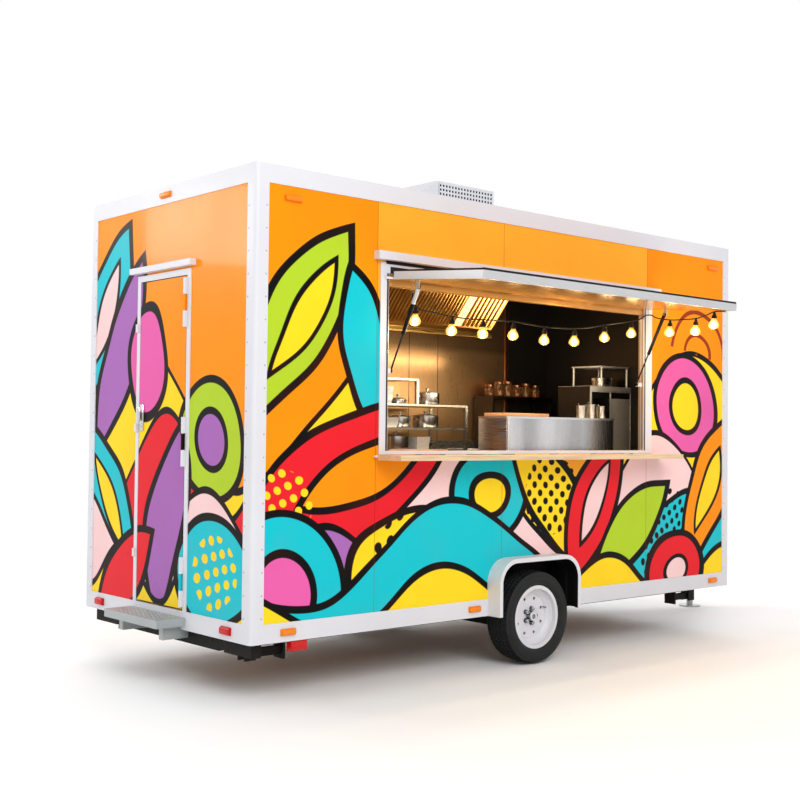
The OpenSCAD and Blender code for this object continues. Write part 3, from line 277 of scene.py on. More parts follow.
@dataclass(frozen=True)
class Finish:
    """A named surface finish whose material is made once."""

    name: str
    made: ClassVar[Dict[str, bpy.types.Material]] = {}

    def material(self) -> bpy.types.Material:
        """The finish's material, made at first use.

        Returns:
            The material, the same one at each call.
        """
        if self.name not in Finish.made:
            shader = Shader(self.name)
            self.dress(shader)
            Finish.made[self.name] = shader.material
        return Finish.made[self.name]

    def dress(self, shader: Shader) -> None:
        """Fills the material's nodes."""
        raise NotImplementedError


@dataclass(frozen=True)
class Paint(Finish):
    """Sprayed paint with faint clouds, orange peel and road dust below a line."""

    hue: Hue = Hue.WHITE
    rough: float = 0.32
    coat: float = 0.25
    dust: float = 0.08
    dust_line: Pair = (0.62, 0.1)
    peel: float = 0.06
    gloss: float = 0.5

    def dress(self, shader: Shader) -> None:
        """Fills the material's nodes.

        Args:
            shader: the material's node tree.
        """
        cloud, speck = shader.noise(1.3, detail=5.0), shader.noise(60.0)
        low = shader.fit(shader.split(shader.place)[2], *self.dust_line)
        soil = shader.math("MULTIPLY", shader.math("MULTIPLY", low, self.dust), shader.middling(cloud))
        tone = shader.mix(shader.fit(cloud, 0.35, 0.7), self.hue.rgba(), self.hue.rgba(0.93))
        shader.set(Base_Color=shader.mix(soil, tone, Hue.DUST.rgba()), Coat_Weight=self.coat,
                   Roughness=shader.middling(speck, self.rough - 0.06, self.rough + 0.08),
                   Coat_Roughness=0.12, Specular_IOR_Level=self.gloss)
        shader.bump(shader.noise(220.0, detail=1.0), self.peel)


@dataclass(frozen=True)
class Metal(Finish):
    """Bare metal with a brushed grain along one axis, faint stains and, where asked, dark stripes of painted
    reflection.
    """

    hue: Hue = Hue.STEEL
    rough: float = 0.3
    grain: Point = (1.5, 60.0, 60.0)
    stain: float = 0.12
    relief: float = 0.02
    reflection_bands: float = 0.0
    metal: float = 1.0

    def dress(self, shader: Shader) -> None:
        """Fills the material's nodes.

        Args:
            shader: the material's node tree.
        """
        brush, cloud = shader.noise(9.0, self.grain, 4.0), shader.noise(3.0, detail=4.0)
        tone = shader.mix(shader.middling(brush), self.hue.rgba(), self.hue.rgba(0.86))
        # Painted reflection: broad dark stripes in the steel's colour, where the surroundings would mirror in
        # it.
        band = shader.noise(2.6, (1.0, 1.0, 0.14), 2.0)
        tone = shader.mix(shader.fit(band, 0.42, 0.6, 0.0, self.reflection_bands), tone, self.hue.rgba(0.5))
        stained = shader.mix(shader.fit(cloud, 0.5, 0.8, 0.0, self.stain), tone, Hue.DUST.rgba(0.5))
        shader.set(Base_Color=stained, Metallic=self.metal,
                   Roughness=shader.middling(brush, self.rough - 0.07, self.rough + 0.09))
        shader.bump(brush, self.relief)


@dataclass(frozen=True)
class HoodShadowSheet(Metal):
    """A wall sheet with painted shadow: darker from a line under the hood upwards."""

    shadow_from: float = 2.035
    shadow_fade: float = 0.05
    shadow_depth: float = 0.46

    def dress(self, shader: Shader) -> None:
        """Fills the material's nodes.

        Args:
            shader: the material's node tree.
        """
        super().dress(shader)
        tone = shader.surface.inputs["Base Color"].links[0].from_socket
        height = shader.split(shader.place)[2]
        # Painted shadow under the hood: the tone darkens towards Hue.SHADE above this height.
        share = shader.fit(height, self.shadow_from, self.shadow_from + self.shadow_fade, 0.0, self.shadow_depth)
        shader.set(Base_Color=shader.mix(share, tone, Hue.SHADE.rgba()))


@dataclass(frozen=True)
class Zinc(Finish):
    """Galvanised steel with its spangle."""

    hue: Hue = Hue.ZINC
    spangle: float = 85.0

    def dress(self, shader: Shader) -> None:
        """Fills the material's nodes.

        Args:
            shader: the material's node tree.
        """
        cell = shader.cells(self.spangle)
        shader.set(Base_Color=shader.mix(cell, self.hue.rgba(0.8), self.hue.rgba(1.1)), Metallic=0.85,
                   Roughness=shader.fit(cell, 0.0, 1.0, 0.34, 0.52))
        shader.bump(shader.noise(40.0), 0.06)


@dataclass(frozen=True)
class Rubber(Finish):
    """Rubber with a little grey dust."""

    hue: Hue = Hue.RUBBER
    dust: float = 0.22
    shine: float = 0.5

    def dress(self, shader: Shader) -> None:
        """Fills the material's nodes.

        Args:
            shader: the material's node tree.
        """
        cloud = shader.noise(14.0, detail=5.0)
        tone = shader.mix(shader.fit(cloud, 0.4, 0.75, 0.0, self.dust), self.hue.rgba(), Hue.DUST.rgba(0.5))
        shader.set(Base_Color=tone, Roughness=shader.middling(cloud, 0.5, 0.72),
                   Specular_IOR_Level=self.shine)
        shader.bump(shader.noise(260.0, detail=2.0), 0.12)


@dataclass(frozen=True)
class Timber(Finish):
    """Sealed wood with its grain along the trailer."""

    hue: Hue = Hue.SHELF
    grain: Hue = Hue.GRAIN
    depth: float = 0.35
    rough: float = 0.45

    def dress(self, shader: Shader) -> None:
        """Fills the material's nodes.

        Args:
            shader: the material's node tree.
        """
        ring = shader.noise(7.0, (0.7, 9.0, 9.0), 5.0)
        fibre = shader.noise(40.0, (0.8, 14.0, 14.0), 3.0)
        dark = shader.math("MULTIPLY", shader.fit(ring, 0.42, 0.66), self.depth)
        tone = shader.mix(dark, self.hue.rgba(), self.grain.rgba())
        streak = shader.fit(fibre, 0.45, 0.7, 0.0, self.depth * 0.5)
        shader.set(Base_Color=shader.mix(streak, tone, self.grain.rgba(1.3)), Coat_Weight=0.15,
                   Roughness=shader.middling(fibre, self.rough - 0.08, self.rough + 0.1))
        shader.bump(fibre, 0.1)


@dataclass(frozen=True)
class Lens(Finish):
    """Clear coloured lamp plastic with fine prisms."""

    hue: Hue = Hue.AMBER
    prisms: float = 900.0

    def dress(self, shader: Shader) -> None:
        """Fills the material's nodes.

        Args:
            shader: the material's node tree.
        """
        x, y, _ = shader.split(shader.place)
        prism = shader.math("SINE", shader.math("MULTIPLY", shader.math("ADD", x, y), self.prisms))
        tone = shader.mix(shader.fit(prism, -1.0, 1.0), self.hue.rgba(0.8), self.hue.rgba(1.15))
        shader.set(Base_Color=tone, Coat_Weight=0.08, Coat_Roughness=0.06, Specular_IOR_Level=0.25,
                   Roughness=shader.middling(shader.noise(30.0), 0.18, 0.3))
        shader.bump(prism, 0.2)


@dataclass(frozen=True)
class Glow(Finish):
    """The lit core of a bulb."""

    strength: float = 9.0

    def dress(self, shader: Shader) -> None:
        """Fills the material's nodes.

        Args:
            shader: the material's node tree.
        """
        flicker = shader.noise(90.0)
        shader.set(Base_Color=Hue.GLOW_CORE.rgba(), Roughness=0.5,
                   Emission_Color=shader.mix(flicker, Hue.GLOW_RIM.rgba(), Hue.GLOW_CORE.rgba()),
                   Emission_Strength=shader.middling(flicker, self.strength * 0.8, self.strength))
        shader.material.cycles.emission_sampling = "NONE"


@dataclass(frozen=True)
class WarmGlass(Finish):
    """A bulb's clear glass, filled with its own warm light."""

    strength: float = 0.5

    def dress(self, shader: Shader) -> None:
        """Fills the material's nodes.

        Args:
            shader: the material's node tree.
        """
        cloud = shader.noise(45.0)
        shader.set(Base_Color=shader.mix(cloud, Hue.GLOW_CORE.rgba(), Hue.GLOW_RIM.rgba(1.1)),
                   Transmission_Weight=0.92, IOR=1.12, Roughness=shader.middling(cloud, 0.02, 0.07),
                   Emission_Color=Hue.GLOW_RIM.rgba(), Emission_Strength=self.strength)
        shader.material.cycles.emission_sampling = "NONE"


@dataclass(frozen=True)
class Glass(Finish):
    """Clear or tinted glass, faintly uneven."""

    hue: Hue = Hue.GLASS

    def dress(self, shader: Shader) -> None:
        """Fills the material's nodes.

        Args:
            shader: the material's node tree.
        """
        cloud = shader.noise(25.0)
        tone = shader.mix(shader.middling(cloud), self.hue.rgba(0.92), self.hue.rgba(1.05))
        shader.set(Base_Color=tone, Transmission_Weight=0.9, IOR=1.45,
                   Roughness=shader.middling(cloud, 0.02, 0.08))


class Form(Enum):
    """Shapes in the wall art."""

    OVAL = "oval"
    LEAF = "leaf"
    HILL = "hill"
    BAR = "bar"
    ARCHES = "arches"
    DOTS = "dots"


@dataclass(frozen=True)
class Motif:
    """One painted shape: its place and half sizes on the wall in metres."""

    form: Form
    at: Pair
    size: Pair
    hue: Hue
    turn: float = 0.0
    line: float = 0.046


class Wall(Enum):
    """A painted plane.

    Each has the axis and sign of u, the CAD node that it starts from, and whether it folds out level.
    """

    RIGHT = (0, 1.0, "wall_right", False)
    LEFT = (0, -1.0, "wall_left", False)
    REAR = (1, -1.0, "wall_rear", False)
    FRONT = (1, 1.0, "wall_front", False)
    HATCH = (0, 1.0, "wall_right", True)

    def start(self) -> float:
        """Where u is 0.

        Returns:
            A place along the wall's length, in metres.
        """
        axis, sign, node, _ = self.value
        low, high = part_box(node)
        return low[axis] if sign > 0 else high[axis]


@dataclass(frozen=True)
class Mural(Finish):
    """Bold outlined shapes painted over orange, a painted sheen on some sheets, under a gloss coat."""

    wall: Wall = Wall.RIGHT
    motifs: Tuple[Motif, ...] = ()
    seams: Tuple[float, ...] = ()
    painted_sheen: Pair = (0.0, 0.0)
    coat: float = 0.05
    wobble: float = 0.11
    brush_edge: float = 0.004
    seam_edges: Pair = (0.004, 0.0015)

    def dress(self, shader: Shader) -> None:
        """Fills the material's nodes.

        Args:
            shader: the material's node tree.
        """
        axis, sign, _, level = self.wall.value
        fold = PIVOTS["hatch_hinge"].z - PIVOTS["hatch_hinge"].y
        parts = shader.split(shader.place)
        u = shader.math("MULTIPLY", shader.math("SUBTRACT", parts[axis], self.wall.start()), sign)
        v = shader.math("ADD", parts[1], fold) if level else parts[2]
        flat = shader.join(u, v)
        swirl = shader.noise(1.1, detail=1.0, output="Color", place=flat)
        shift = shader.vector("MULTIPLY", shader.vector("SUBTRACT", swirl, (0.5, 0.5, 0.5)),
                              (self.wobble * 2, self.wobble * 2, 0.0))
        drawn = shader.vector("ADD", flat, shift)
        # Painted sheen: a lighter orange over the middle sheets stands in for a soft reflection.
        pale = shader.math("MULTIPLY", shader.math("GREATER_THAN", u, self.painted_sheen[0]),
                           shader.math("LESS_THAN", u, self.painted_sheen[1]))
        tone: Feed = shader.mix(pale, Hue.ORANGE.rgba(), Hue.SHEEN_ORANGE.rgba())
        for motif in self.motifs:
            reach = self.distance(shader, drawn, motif)
            if motif.line:
                inked = shader.fit(reach, motif.line, motif.line - self.brush_edge)
                tone = shader.mix(inked, tone, Hue.INK.rgba())
            tone = shader.mix(shader.fit(reach, self.brush_edge, 0.0), tone, motif.hue.rgba())
        cloud = shader.noise(2.4, detail=5.0)
        tone = shader.mix(shader.fit(cloud, 0.45, 0.75, 0.0, 0.1), tone, Hue.RUST.rgba())
        gap: Feed = 0.0
        for seam in self.seams:
            off = shader.math("ABSOLUTE", shader.math("SUBTRACT", u, seam))
            gap = shader.math("MAXIMUM", gap, shader.fit(off, *self.seam_edges))
        tone = shader.mix(shader.math("MULTIPLY", gap, 0.45), tone, Hue.RUST.rgba(0.5))
        peel = shader.noise(160.0, detail=1.0)
        shader.set(Base_Color=tone, Coat_Weight=self.coat, Coat_Roughness=0.06, Specular_IOR_Level=0.06,
                   Roughness=shader.middling(cloud, 0.26, 0.36))
        shader.bump(shader.math("SUBTRACT", shader.math("MULTIPLY", peel, 0.05), gap), 0.12, 0.002)

    @staticmethod
    def distance(shader: Shader, drawn: Socket, motif: Motif) -> Socket:
        """How far a point lies outside a motif, in metres.

        Args:
            shader: the material being made.
            drawn: the wall's coordinates.
            motif: the shape.

        Returns:
            A number, below 0 inside the shape.
        """
        place = {"Vector": drawn, "Location": (*motif.at, 0.0),
                 "Rotation": (0.0, 0.0, math.radians(motif.turn))}
        node = shader.add("ShaderNodeMapping", place, vector_type="TEXTURE")
        along, across = motif.size
        if motif.form is Form.OVAL:
            share = shader.vector("LENGTH", shader.vector("MULTIPLY", node.outputs[0],
                                                          (1 / along, 1 / across, 0.0)))
            return shader.math("MULTIPLY", shader.math("SUBTRACT", share, 1.0), min(along, across))
        x, y, _ = shader.split(node.outputs[0])
        if motif.form is Form.HILL:
            phase = shader.math("MULTIPLY", x, TURN / along)
            wave = shader.math("MULTIPLY", shader.math("SINE", phase), across)
            return shader.math("SUBTRACT", y, wave)
        if motif.form is Form.LEAF:
            radius = (along ** 2 + across ** 2) / (2 * across)
            side = shader.math("ADD", shader.math("ABSOLUTE", y), radius - across)
            return shader.math("SUBTRACT", shader.vector("LENGTH", shader.join(x, side)), radius)
        if motif.form is Form.BAR:
            past = shader.math("MAXIMUM", shader.math("SUBTRACT", shader.math("ABSOLUTE", x), along), 0.0)
            return shader.math("SUBTRACT", shader.vector("LENGTH", shader.join(past, y)), across)
        far = shader.vector("LENGTH", shader.join(x, y))
        if motif.form is Form.ARCHES:
            band = shader.math("PINGPONG", far, across)
            thin = shader.math("SUBTRACT", band, across * 0.16)
            ends = shader.math("MAXIMUM", shader.math("SUBTRACT", far, along),
                               shader.math("MULTIPLY", y, -1.0))
            return shader.math("MAXIMUM", thin, ends)
        step = across * 3.6
        cell = shader.join(*(shader.math("WRAP", part, step / 2, -step / 2) for part in (x, y)))
        dot = shader.math("SUBTRACT", shader.vector("LENGTH", cell), across)
        return shader.math("MAXIMUM", dot, shader.math("SUBTRACT", far, along))


RIGHT_ART = (
    Motif(Form.HILL, (0.35, 1.5), (2.7, 0.5), Hue.YELLOW),
    Motif(Form.LEAF, (0.2, 2.0), (0.62, 0.19), Hue.LIME, 58.0),
    Motif(Form.LEAF, (0.24, 2.03), (0.36, 0.075), Hue.YELLOW, 58.0, 0.03),
    Motif(Form.LEAF, (0.66, 1.86), (0.46, 0.15), Hue.TEAL, 104.0),
    Motif(Form.OVAL, (3.62, 1.62), (0.34, 0.34), Hue.PINK),
    Motif(Form.OVAL, (3.62, 1.62), (0.16, 0.16), Hue.YELLOW),
    Motif(Form.ARCHES, (3.72, 2.02), (0.34, 0.075), Hue.RUST, 0.0, 0.0),
    Motif(Form.HILL, (0.9, 1.02), (1.9, 0.36), Hue.BLUSH),
    Motif(Form.LEAF, (0.58, 1.16), (0.78, 0.33), Hue.RED, 24.0),
    Motif(Form.LEAF, (0.66, 1.19), (0.44, 0.13), Hue.ORANGE, 24.0),
    Motif(Form.DOTS, (0.12, 1.02), (0.2, 0.022), Hue.YELLOW, 24.0, 0.0),
    Motif(Form.OVAL, (1.64, 1.06), (0.31, 0.25), Hue.TEAL, 12.0),
    Motif(Form.OVAL, (1.64, 1.06), (0.13, 0.1), Hue.YELLOW, 12.0),
    Motif(Form.HILL, (0.1, 0.7), (1.22, 0.17), Hue.PURPLE),
    Motif(Form.LEAF, (2.2, 1.02), (0.52, 0.18), Hue.YELLOW, -52.0),
    Motif(Form.DOTS, (2.2, 1.02), (0.24, 0.02), Hue.INK, -52.0, 0.0),
    Motif(Form.LEAF, (2.62, 0.98), (0.5, 0.2), Hue.RED, 62.0),
    Motif(Form.LEAF, (2.62, 0.98), (0.26, 0.07), Hue.BLUSH, 62.0, 0.03),
    Motif(Form.OVAL, (1.02, 0.6), (0.44, 0.32), Hue.YELLOW),
    Motif(Form.DOTS, (1.02, 0.66), (0.3, 0.026), Hue.INK, 20.0, 0.0),
    Motif(Form.LEAF, (1.5, 0.62), (0.4, 0.14), Hue.RED, -40.0),
    Motif(Form.OVAL, (0.12, 0.56), (0.38, 0.38), Hue.TEAL),
    Motif(Form.OVAL, (0.12, 0.56), (0.18, 0.18), Hue.PINK),
    Motif(Form.HILL, (3.1, 0.72), (2.3, 0.26), Hue.TEAL),
    Motif(Form.DOTS, (3.34, 0.74), (0.3, 0.018), Hue.INK, 30.0, 0.0),
    Motif(Form.LEAF, (3.0, 0.76), (0.46, 0.17), Hue.LIME, 38.0),
    Motif(Form.LEAF, (3.88, 1.02), (0.58, 0.21), Hue.ORANGE, 68.0),
    Motif(Form.LEAF, (3.88, 1.02), (0.32, 0.08), Hue.YELLOW, 68.0, 0.03),
    Motif(Form.HILL, (2.35, 0.46), (1.5, 0.14), Hue.YELLOW),
    Motif(Form.OVAL, (3.5, 0.48), (0.28, 0.22), Hue.RED),
    Motif(Form.OVAL, (3.5, 0.48), (0.11, 0.08), Hue.BLUSH, 0.0, 0.03),
    Motif(Form.BAR, (2.05, 0.5), (0.24, 0.07), Hue.PURPLE, 18.0),
)
REAR_ART = (
    Motif(Form.HILL, (0.1, 1.5), (1.9, 0.42), Hue.YELLOW),
    Motif(Form.LEAF, (0.12, 2.1), (0.6, 0.2), Hue.TEAL, 62.0),
    Motif(Form.LEAF, (0.12, 2.1), (0.34, 0.07), Hue.BLUSH, 62.0, 0.03),
    Motif(Form.LEAF, (0.3, 1.86), (0.6, 0.16), Hue.PURPLE, 66.0),
    Motif(Form.OVAL, (0.62, 1.82), (0.2, 0.28), Hue.PINK),
    Motif(Form.HILL, (0.5, 1.2), (1.25, 0.3), Hue.RED),
    Motif(Form.OVAL, (1.3, 1.36), (0.32, 0.32), Hue.LIME),
    Motif(Form.OVAL, (1.3, 1.36), (0.15, 0.15), Hue.PURPLE),
    Motif(Form.LEAF, (0.2, 0.98), (0.56, 0.2), Hue.TEAL, -58.0),
    Motif(Form.LEAF, (0.2, 0.98), (0.3, 0.07), Hue.YELLOW, -58.0, 0.03),
    Motif(Form.HILL, (0.9, 0.82), (1.5, 0.22), Hue.BLUSH),
    Motif(Form.LEAF, (0.86, 0.9), (0.5, 0.18), Hue.PURPLE, 78.0),
    Motif(Form.HILL, (0.15, 0.58), (0.86, 0.13), Hue.YELLOW),
    Motif(Form.OVAL, (1.36, 0.64), (0.32, 0.27), Hue.TEAL),
    Motif(Form.DOTS, (1.36, 0.64), (0.2, 0.024), Hue.YELLOW, 15.0, 0.0),
    Motif(Form.LEAF, (0.4, 0.58), (0.38, 0.14), Hue.RED, 36.0),
)
SEAMS = (0.74, 1.746, 3.157)
BACK_SEAMS = (1.2, 2.4, 3.3)
# The right wall's middle sheets carry the painted sheen.
RIGHT_WALL = Mural("wall_art_right", Wall.RIGHT, RIGHT_ART, SEAMS, (SEAMS[0], SEAMS[-1]))
LEFT_WALL = Mural("wall_art_left", Wall.LEFT, RIGHT_ART, BACK_SEAMS)
REAR_WALL = Mural("wall_art_rear", Wall.REAR, REAR_ART, coat=0.11)
FRONT_WALL = Mural("wall_art_front", Wall.FRONT, REAR_ART[:1] + REAR_ART[5:] + REAR_ART[1:5])
HATCH_ART = Mural("hatch_art", Wall.HATCH, RIGHT_ART, SEAMS)

NO_GRAIN, UPRIGHT, BAFFLES = (12.0, 12.0, 12.0), (40.0, 40.0, 1.2), (26.0, 0.2, 0.2)
WHITE = Paint("white_satin_paint", rough=0.4, coat=0.06, gloss=0.3)
RIVET = Paint("rivet_heads", hue=Hue.RIVET, dust=0.2)
VENT_WHITE = Paint("vent_white_plastic", rough=0.42, coat=0.0)
FENDER = Paint("fender_white_paint", rough=0.5, coat=0.0)
CHASSIS = Paint("chassis_black_paint", hue=Hue.SOOT, rough=0.6, coat=0.0, dust=0.04, peel=0.1, gloss=0.15)
DARK = Paint("matt_black", hue=Hue.SOOT, rough=0.6, coat=0.0, dust=0.02, gloss=0.12)
LINING = Paint("ceiling_lining", hue=Hue.CREAM, rough=0.4, coat=0.1, dust=0.0)
STAINLESS = Metal("brushed_stainless", rough=0.27)
# Wall sheets with painted shadow under the hood.
PANEL = HoodShadowSheet("stainless_wall_sheet", hue=Hue.WALL_SHEET, rough=0.34, grain=UPRIGHT)
DARK_PANEL = Paint("dark_wall_sheet", hue=Hue.NIGHT, rough=0.42, coat=0.03, dust=0.02, gloss=0.3)
DARK_METAL = Metal("dark_shelf_steel", hue=Hue.DARK_STEEL, rough=0.34)
FILTER = Metal("filter_steel", hue=Hue.FILTER, rough=0.3, grain=BAFFLES, stain=0.1, relief=0.0)
HOOD = Metal("hood_sheet", hue=Hue.HOOD, rough=0.36)
# Lit copies: painted highlights on the first filter bank and on the hood's lip.
FILTER_HIGHLIGHT = Metal("filter_painted_highlight", hue=Hue.GOLD_HIGHLIGHT, rough=0.26, grain=BAFFLES, stain=0.05, relief=0.0)
HOOD_LIP_HIGHLIGHT = Metal("hood_lip", hue=Hue.GOLD_HIGHLIGHT, rough=0.3, grain=(0.6, 20.0, 20.0), stain=0.05, relief=0.0)
# Hub chrome made darker in colour: a painted dark reflection of the surroundings.
HUB = Metal("hub_chrome", hue=Hue.CHROME_DARK_REFLECTION, rough=0.16, grain=NO_GRAIN, stain=0.0)
UNIT_END = Metal("unit_end_sheet", hue=Hue.COOL_STEEL, rough=0.28, grain=(20.0, 0.6, 20.0), stain=0.02,
                 relief=0.0)
TUB = Metal("pale_tub_steel", hue=Hue.CHROME, rough=0.3, grain=(6.0, 6.0, 40.0), metal=0.4)
JAMB = Metal("jamb_aluminium", hue=Hue.JAMB, rough=0.42, grain=UPRIGHT)
POT = Metal("pot_steel", rough=0.2, grain=(6.0, 6.0, 90.0), stain=0.05)
CHROME = Metal("chrome", hue=Hue.CHROME, rough=0.1, grain=NO_GRAIN, stain=0.0)
ROD = Metal("strut_rod_dark", hue=Hue.DARK_STEEL, rough=0.22, grain=NO_GRAIN)
COVER = Metal("cover_strip", hue=Hue.COPPER, rough=0.3, grain=UPRIGHT)
# Front unit steel with painted reflection stripes.
UNIT = Metal("front_unit_sheet", hue=Hue.CHROME, rough=0.27, grain=(46.0, 46.0, 0.8), stain=0.06,
             reflection_bands=0.75)
EDGE = Metal("hatch_edge_aluminium", hue=Hue.CHROME, rough=0.36)
# Stainless hatch lining; its gold tint is a painted reflection of the warm bulbs.
UNDERSIDE = Metal("hatch_lining_painted_reflection", hue=Hue.HATCH_WARM_REFLECTION, rough=0.19, grain=(0.7, 16.0, 16.0), stain=0.2,
                  metal=0.5)
ZINC = Zinc("galvanised_steel")
STEP = Metal("step_aluminium", hue=Hue.STEP, rough=0.5, metal=0.5)
TYRE = Rubber("tyre_rubber", dust=0.07, shine=0.2)
SEAL = Rubber("black_seal", hue=Hue.SOOT, dust=0.05, shine=0.2)
PLY = Timber("floor_ply", hue=Hue.PLY, rough=0.55)
SHELF_WOOD = Timber("shelf_ash", depth=0.28)
BOARD = Timber("board_wood", hue=Hue.BOARD, depth=0.35)
AMBER = Lens("amber_lens")
RED_LENS = Lens("red_lens", hue=Hue.TAIL)
BULB = WarmGlass("lit_bulb_glass")
CORE = Glow("lit_bulb_core")
LAMP_STRIP = Glow("hood_lamp_strip", strength=0.72)
JAR_GLASS = Glass("jar_glass")
SPICE = Timber("spice_fill", hue=Hue.SPICE, depth=0.6, rough=0.8)


class Maker:
    """One piece's mesh, built from bmesh operators."""

    def __init__(self, name: str) -> None:
        """Starts an empty mesh.

        Args:
            name: the piece's name.
        """
        self.name = name
        self.mesh = bmesh.new()
        self.done = self.mesh.faces.layers.int.new("done")
        self.finish = 0

    def mark(self) -> None:
        """Gives the faces made since the last mark the current finish."""
        for face in self.mesh.faces:
            if not face[self.done]:
                face.material_index = self.finish
                face[self.done] = 1

    def cube(self, at: Matrix, bevel: float = 0.0, segments: int = 2) -> List:
        """A unit cube carried by a matrix, with rounded edges.

        Args:
            at: its size, turn and place.
            bevel: radius of the edges.
            segments: faces across a rounded edge.

        Returns:
            The cube's vertices before its edges are rounded.
        """
        verts = bmesh.ops.create_cube(self.mesh, size=1.0, matrix=at)["verts"]
        if bevel:
            edges = list({edge for vert in verts for edge in vert.link_edges})
            bmesh.ops.bevel(self.mesh, geom=edges, offset=bevel, offset_type="OFFSET", segments=segments,
                            profile=0.5, affect="EDGES", material=-1)
        self.mark()
        return verts

    def block(self, low: Sequence[float], high: Sequence[float], bevel: float = 0.0,
              segments: int = 2) -> List:
        """A block between two corners, with rounded edges.

        Args:
            low: its lowest corner.
            high: its highest corner.
            bevel: radius of its edges.
            segments: faces across a rounded edge.

        Returns:
            What cube returns.
        """
        low, high = Vector(low), Vector(high)
        at = Matrix.Translation((low + high) / 2) @ Matrix.Diagonal((*(high - low), 1))
        return self.cube(at, bevel, segments)

    def band(self, outer: Sequence[Pair], inner: Sequence[Pair], y: Pair) -> None:
        """A solid strip between two lines in the side view, drawn across from one y to another.

        Args:
            outer: the outer line, as x and z.
            inner: the inner line, with as many points.
            y: where it starts and ends across.
        """
        rings = [[self.mesh.verts.new((x, across, z)) for x, z in line]
                 for line, across in ((outer, y[0]), (outer, y[1]), (inner, y[1]), (inner, y[0]))]
        for index in range(len(outer) - 1):
            for a, b in zip(rings, rings[1:] + rings[:1]):
                self.mesh.faces.new((a[index], a[index + 1], b[index + 1], b[index]))
        for index in (0, -1):
            self.mesh.faces.new([ring[index] for ring in rings])
        self.mark()

    def prism(self, outline: Sequence[Pair], low: float, high: float) -> None:
        """A level outline drawn up from one height to another.

        Args:
            outline: its points, as x and y.
            low: height of its foot.
            high: height of its top.
        """
        face = self.mesh.faces.new([self.mesh.verts.new((x, y, low)) for x, y in outline])
        made = bmesh.ops.extrude_face_region(self.mesh, geom=[face])["geom"]
        verts = [item for item in made if isinstance(item, bmesh.types.BMVert)]
        bmesh.ops.translate(self.mesh, verts=verts, vec=(0, 0, high - low))
        self.mark()

    def rod(self, start: Sequence[float], end: Sequence[float], radius: float, sides: int = 12,
            tip: Union[float, None] = None) -> None:
        """A round or many-sided rod between two points, tapered where tip is given.

        Args:
            start: middle of one end.
            end: middle of the other end.
            radius: radius at the start.
            sides: faces round it.
            tip: radius at the end, where it differs.
        """
        start, end = Vector(start), Vector(end)
        axis = end - start
        at = Matrix.Translation((start + end) / 2) @ axis.to_track_quat("Z", "Y").to_matrix().to_4x4()
        bmesh.ops.create_cone(self.mesh, cap_ends=True, cap_tris=False, segments=sides, radius1=radius,
                              radius2=radius if tip is None else tip, depth=axis.length, matrix=at)
        self.mark()

    def turned(self, profile: Sequence[Pair], centre: Sequence[float], axis: Vector, steps: int) -> None:
        """A profile of (radius, height) spun about an axis through a centre.

        Args:
            profile: the points of half the section.
            centre: where height is 0.
            axis: direction of the height.
            steps: faces round the piece.
        """
        centre = Vector(centre)
        side = axis.orthogonal().normalized()
        verts = [self.mesh.verts.new(centre + side * radius + axis * height) for radius, height in profile]
        edges = [self.mesh.edges.new(pair) for pair in zip(verts, verts[1:])]
        bmesh.ops.spin(self.mesh, geom=verts + edges, cent=centre, axis=axis, dvec=(0, 0, 0), angle=TURN,
                       steps=steps, use_merge=True)
        self.mark()

    def hoop(self, centre: Sequence[float], axis: Vector, radius: float, thick: float, steps: int = 20,
             sides: int = 8) -> None:
        """A ring of round bar about an axis.

        Args:
            centre: the ring's middle.
            axis: direction through it.
            radius: radius to the middle of the bar.
            thick: radius of the bar.
            steps: faces round the ring.
            sides: faces round the bar.
        """
        ring = [(radius + thick * math.cos(TURN * i / sides), thick * math.sin(TURN * i / sides))
                for i in range(sides + 1)]
        self.turned(ring, centre, axis, steps)

    def turn(self, verts: Sequence, about: Sequence[float], axis: Vector, angle: float) -> None:
        """Turns vertices about a line by an angle in radians."""
        turn = Matrix.Rotation(angle, 3, axis)
        bmesh.ops.rotate(self.mesh, verts=list(verts), cent=Vector(about), matrix=turn)

    def piece(self, body: str, slot: str, *finishes: Finish, replaces: Sequence[str] = (),
              sharp: float = 38.0) -> bpy.types.Object:
        """Closes the mesh and makes it a piece on a body.

        Args:
            body: the CAD body it rides on.
            slot: the record's material slot; not used.
            finishes: its finishes, in the order of the mesh's marks.
            replaces: CAD nodes that it stands for.
            sharp: angle in degrees past which an edge stays sharp.

        Returns:
            The piece's object.
        """
        bmesh.ops.remove_doubles(self.mesh, verts=self.mesh.verts, dist=1e-5)
        bmesh.ops.recalc_face_normals(self.mesh, faces=self.mesh.faces)
        self.mesh.faces.layers.int.remove(self.done)
        data = bpy.data.meshes.new(self.name)
        self.mesh.to_mesh(data)
        self.mesh.free()
        data.polygons.foreach_set("use_smooth", [True] * len(data.polygons))
        data.set_sharp_from_angle(angle=math.radians(sharp))
        for finish in finishes:
            data.materials.append(finish.material())
        made = stand(self.name, data)
        settle(made, body, replaces)
        return made


def stand(name: str, data: bpy.types.ID) -> bpy.types.Object:
    """Puts an object with some data in the scene.

    Args:
        name: the object's name.
        data: its mesh, curve or lamp.

    Returns:
        The object.
    """
    made = bpy.data.objects.new(name, data)
    bpy.context.scene.collection.objects.link(made)
    return made


def settle(made: bpy.types.Object, body: str, replaces: Sequence[str] = ()) -> None:
    """Rides a piece on its body and what it stands for, and logs it.

    Args:
        made: the piece's object.
        body: the CAD body it rides on.
        replaces: CAD nodes that it stands for.
    """
    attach(made, body)
    if replaces:
        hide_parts(*replaces)
    LOG.info("%s rides on %s", made.name, body)


def dress_node(node: str, finish: Finish) -> None:
    """Gives a CAD node a finish.

    Args:
        node: the CAD node's name.
        finish: its finish.
    """
    data = frame["nodes"][node].data
    data.materials.clear()
    data.materials.append(finish.material())
    LOG.info("%s keeps its solid, in %s", node, finish.name)


